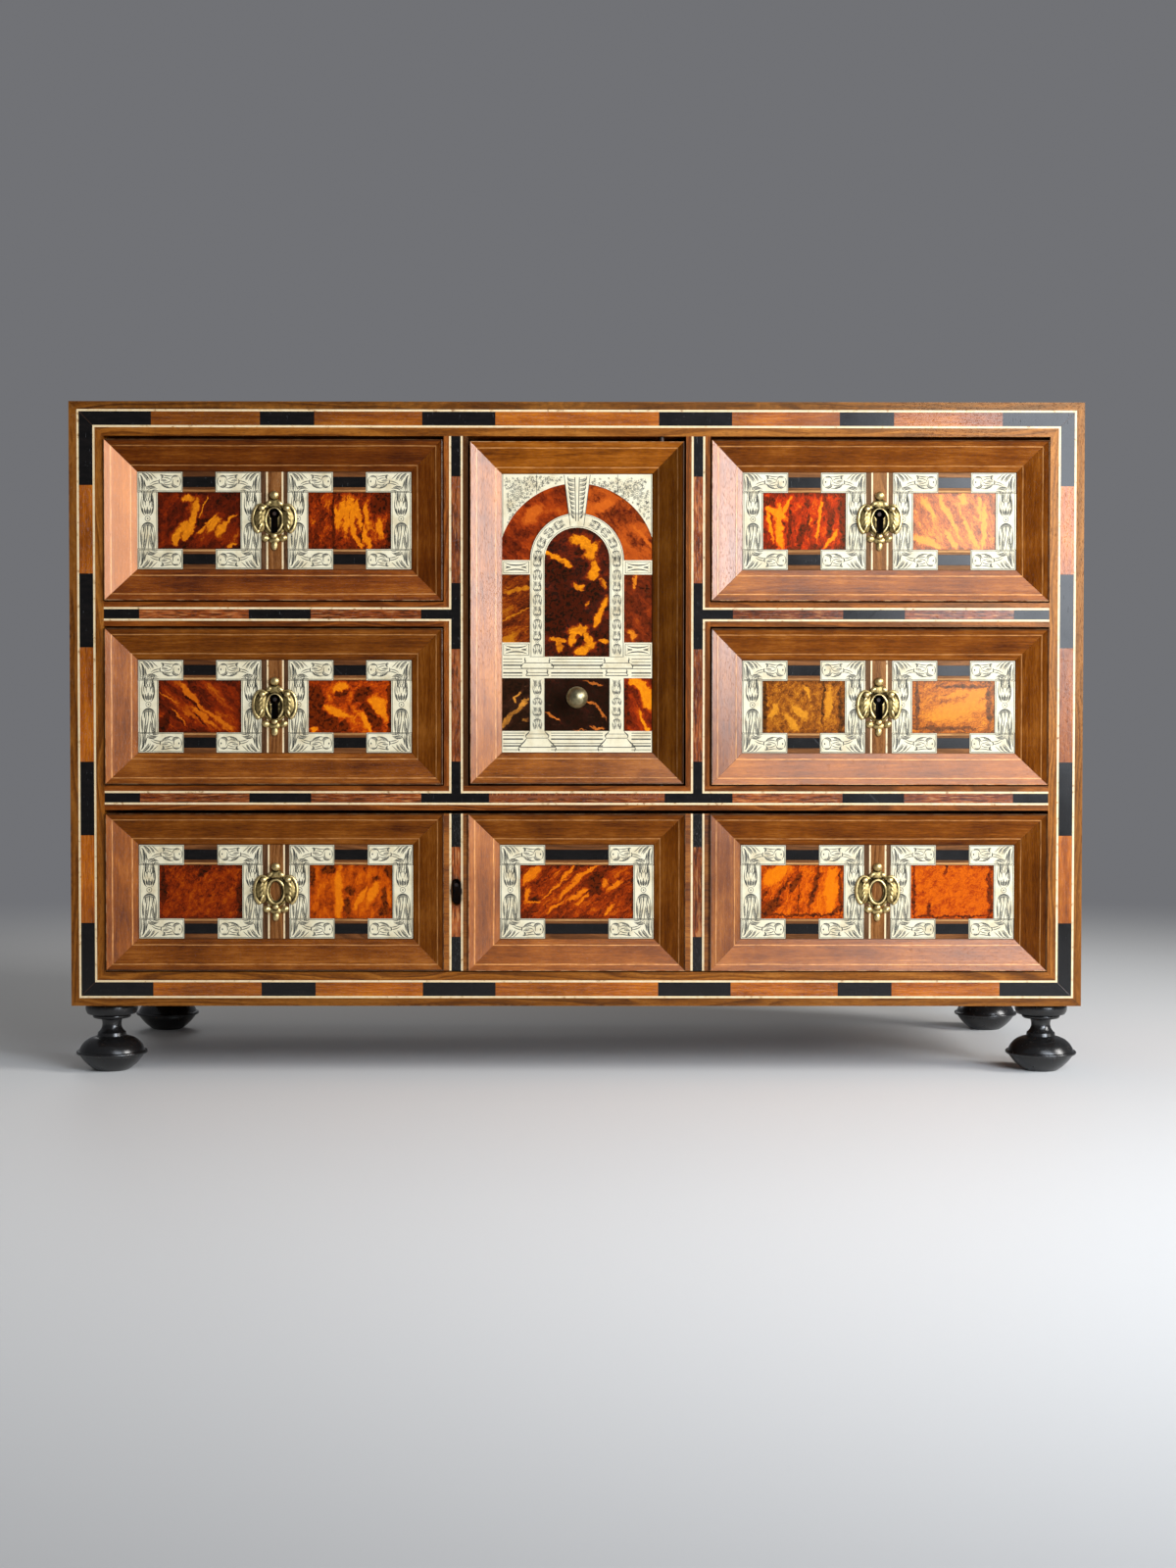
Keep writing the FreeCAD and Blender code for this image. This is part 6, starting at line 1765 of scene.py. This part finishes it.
def make_knob(brass):
    """The door's turned knob: collar, neck and ball."""
    xs, ys, zs = span("door_knob")
    tip = PANEL_FRONT - ys[0]
    radius = (xs[1] - xs[0]) / 2
    centre = tip - radius
    profile = list(KNOB_NECK)
    for step in range(1, 33):
        angle = math.radians(-68 + 158 * step / 32)
        profile.append((max(radius * math.cos(angle), KNOB_POINT),
                        centre + radius * math.sin(angle)))
    mesh = turned("knob", profile, (middle_of(xs), PANEL_FRONT, middle_of(zs)))
    relief = mesh.attributes.new("relief", "FLOAT", "POINT")
    for number, vert in enumerate(mesh.vertices):
        forward = (PANEL_FRONT - vert.co.y) / tip
        relief.data[number].value = 0.25 + 0.4 * forward
    piece("turned_knob", mesh, "door", [brass], ["door_knob"])


# Finishes on the CAD nodes

def dress(finishes):
    """Gives CAD nodes that keep their shape their finishes."""
    for nodes, finish in finishes:
        for node in nodes:
            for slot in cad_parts[node].material_slots:
                slot.material = finish


WALNUT_SHADED = ((0.055, 0.009, 0.0010), (0.172, 0.036, 0.003), (0.330, 0.090, 0.011))
FRUIT = ((0.140, 0.026, 0.001), (0.360, 0.086, 0.002), (0.540, 0.165, 0.008))
RED = ((0.070, 0.009, 0.0015), (0.235, 0.046, 0.005), (0.420, 0.125, 0.030))

walnut_across = walnut("walnut_across", "x")
walnut_upright = walnut("walnut_upright", "z", shift=(31, 5, 12))
partition_walnut = walnut("walnut_partition", "z", *WALNUT_SHADED, shift=(7, 25, 2),
                          door_shadow=True)
shelf_walnut = walnut("walnut_shelves", "x", *WALNUT_SHADED, shift=(2, 6, 19))
black = ebony()
pale_string = bone_string()
bone_finish = bone()
cast_brass = aged_brass("cast_brass", (0.76, 0.59, 0.28), (0.40, 0.290, 0.110),
                        (0.034, 0.024, 0.010))
knob_brass = aged_brass("knob_brass", (0.46, 0.40, 0.24), (0.20, 0.170, 0.09),
                        (0.04, 0.032, 0.016))
iron_finish = iron()
fruit = block_wood("fruitwood", FRUIT, on_case_sides, 0.4, 0.12, (2, 0, 5))
redwood = block_wood("redwood", RED, on_uprights, 0.5, 0.5, (12, 3, 1))
false_redwood = block_wood("redwood_of_false_uprights", RED, on_false_uprights, 0.5, 0.5,
                           (4, 8, 2), ends_of_false_uprights)
fillet_walnut = walnut("walnut_fillets", "x", (0.060, 0.018, 0.006), (0.130, 0.042, 0.012),
                       (0.22, 0.08, 0.025), (8, 1, 1))
strip_walnut = walnut("walnut_strips", "z", (0.090, 0.026, 0.007), (0.190, 0.066, 0.016),
                      (0.30, 0.12, 0.035), (3, 1, 9), matt=0.55)
dark_strip = walnut("walnut_dark_strips", "z", (0.030, 0.011, 0.005), (0.070, 0.028, 0.012),
                    (0.13, 0.058, 0.027), (9, 4, 2))
box_line = walnut("boxwood_line", "x", (0.24, 0.10, 0.03), (0.42, 0.20, 0.07), (0.55, 0.29, 0.11))
linings = drawer_wood()

dress((
    (("top_board", "bottom_board"), walnut_across),
    (("lower_shelf", "small_shelves"), shelf_walnut),
    (("left_side", "right_side"), walnut_upright),
    (("left_partition", "right_partition"), partition_walnut),
    (("back_panel",), back_wood()),
    (("edge_strings", "long_drawer_strings"), pale_string),
    (("edge_ebony_blocks",), black),
    (("edge_fruitwood_blocks",), fruit),
    (("edge_redwood_blocks",), redwood),
    (("long_drawer_blocks",), false_redwood),
    (("foot_front_left", "foot_front_right", "foot_rear_left", "foot_rear_right"), ebonised()),
    (("door_panel",), walnut_upright),
    (("door_pivot_pins", "long_drawer_lock", "long_drawer_bolt"), iron_finish),
    ([prefix + "_lock" for prefix in SMALL_DRAWERS], iron_finish),
    ([prefix + "_bolt" for prefix in SMALL_DRAWERS], iron_finish),
    ([prefix + "_drawer_box" for prefix in SMALL_DRAWERS], linings),
    (("long_drawer_box",), linings),
    ([prefix + "_drawer_plaques" for prefix in SMALL_DRAWERS], bone_finish),
    (("long_drawer_plaques", "door_plaques"), bone_finish),
))

make_frames()
make_fillets([fillet_walnut, black, box_line, strip_walnut, pale_string, dark_strip])
make_plates()
make_engraving(ink())
make_escutcheons(cast_brass)
make_knob(knob_brass)


# Floor, light and camera

BACKDROP = (0.165, 0.168, 0.180)
FLOOR_REACH = 4000.0
FLOOR_SEEN = (0.80, 0.80, 0.788)
FLOOR_BOUNCE = 0.28
FLOOR_FADES = (450.0, 1500.0)
AMBIENT = 0.15


def seen_directly(tree):
    """1 for rays that come from the camera or from a mirror-like surface."""
    paths = tree.add("ShaderNodeLightPath", output="Is Camera Ray")
    return paths.most(paths.other("Is Glossy Ray")).most(paths.other("Is Transmission Ray"))


def make_floor():
    """A pale floor, which fades into the backdrop far from the cabinet."""
    work = Work()
    ends = (-FLOOR_REACH, FLOOR_REACH)
    work.face([(x, y, 0) for x, y in outline(ends, ends)])
    mesh = work.done("floor", closed=False)
    mesh.transform(Matrix.Scale(MM, 4))
    floor = shown("floor", mesh)
    f = Finish("pale_floor")
    direct = seen_directly(f)
    f.finish(f.blend(direct, (FLOOR_BOUNCE,) * 3, FLOOR_SEEN), 0.55, specular_ior_level=0.3)
    x, y, _ = f.parts(f.place)
    out = x * x + y * y
    far = out.maths("SQRT", out).between(*FLOOR_FADES) * direct
    glow = f.add("ShaderNodeEmission", inputs={0: opaque(BACKDROP), 1: 1.0})
    layers = {0: far, 1: Wire(f, f.shader.outputs[0]), 2: glow}
    mixed = f.add("ShaderNodeMixShader", inputs=layers)
    f.feed(f.nodes["Material Output"], {"Surface": mixed})
    mesh.materials.append(f.material)


def make_world():
    world = bpy.data.worlds.new("studio")
    bpy.context.scene.world = world
    world.use_nodes = True
    tree = Tree(world.node_tree)
    colour = tree.blend(seen_directly(tree), (AMBIENT,) * 3, BACKDROP)
    tree.feed(tree.nodes["Background"], {"Color": colour, "Strength": 1.0})


def make_lamp(name, place, aim, width, height, radiance, colour):
    lamp = bpy.data.lights.new(name, "AREA")
    lamp.shape = "RECTANGLE"
    lamp.size, lamp.size_y = width, height
    lamp.energy = radiance * math.pi * width * height
    lamp.color = colour
    made = shown(name, lamp)
    made.location = place
    towards = Vector(aim) - Vector(place)
    made.rotation_euler = towards.to_track_quat("-Z", "Y").to_euler()
    made.visible_camera = False


# The photograph's long side is 1600 px and its focal length 2250 px. The camera stood
# 1394 mm in front of the cabinet, 223 mm above the surface, looking down a little.
FOCAL_PX = 2250.0
LONG_SIDE_PX = 1600.0
SENSOR = 36.0
CAMERA_ASIDE = 0.00065
CAMERA_AWAY = 1.394
CAMERA_HEIGHT = 0.2226
CAMERA_TURN = (90 - 1.54, -0.05, -0.26)


def make_camera():
    data = bpy.data.cameras.new("camera")
    data.sensor_width = SENSOR
    data.lens = FOCAL_PX / LONG_SIDE_PX * SENSOR
    camera = shown("camera", data)
    camera.location = (CAMERA_ASIDE, FRONT * MM - CAMERA_AWAY, CAMERA_HEIGHT)
    camera.rotation_euler = [math.radians(degrees) for degrees in CAMERA_TURN]
    bpy.context.scene.camera = camera


# Each lamp's place, aim, width, height, radiance and colour
WINDOW_LIGHT = (0.92, 0.99, 1.09)
LAMPS = (
    ("window_left", (0.60, -1.35, 0.50), (0.60, 0.0, 0.46), 0.40, 0.52, 10.0, WINDOW_LIGHT),
    ("window_right", (1.03, -1.35, 0.50), (1.03, 0.0, 0.46), 0.45, 0.52, 24.0, WINDOW_LIGHT),
    ("window_top", (0.58, -1.35, 1.05), (0.58, 0.0, 0.90), 0.86, 0.50, 5.0, WINDOW_LIGHT),
    ("rear_fill", (-0.5, 2.0, 1.1), (0.0, 0.13, 0.25), 1.0, 0.8, 1.4, (1.0, 1.0, 1.0)),
    ("side_window", (2.2, -1.0, 1.15), (0.0, -0.11, 0.25), 0.8, 1.1, 18.0, (1.0, 0.98, 0.96)),
)

make_floor()
make_world()
for lamp in LAMPS:
    make_lamp(*lamp)
make_camera()
bpy.context.scene.view_settings.view_transform = "Standard"
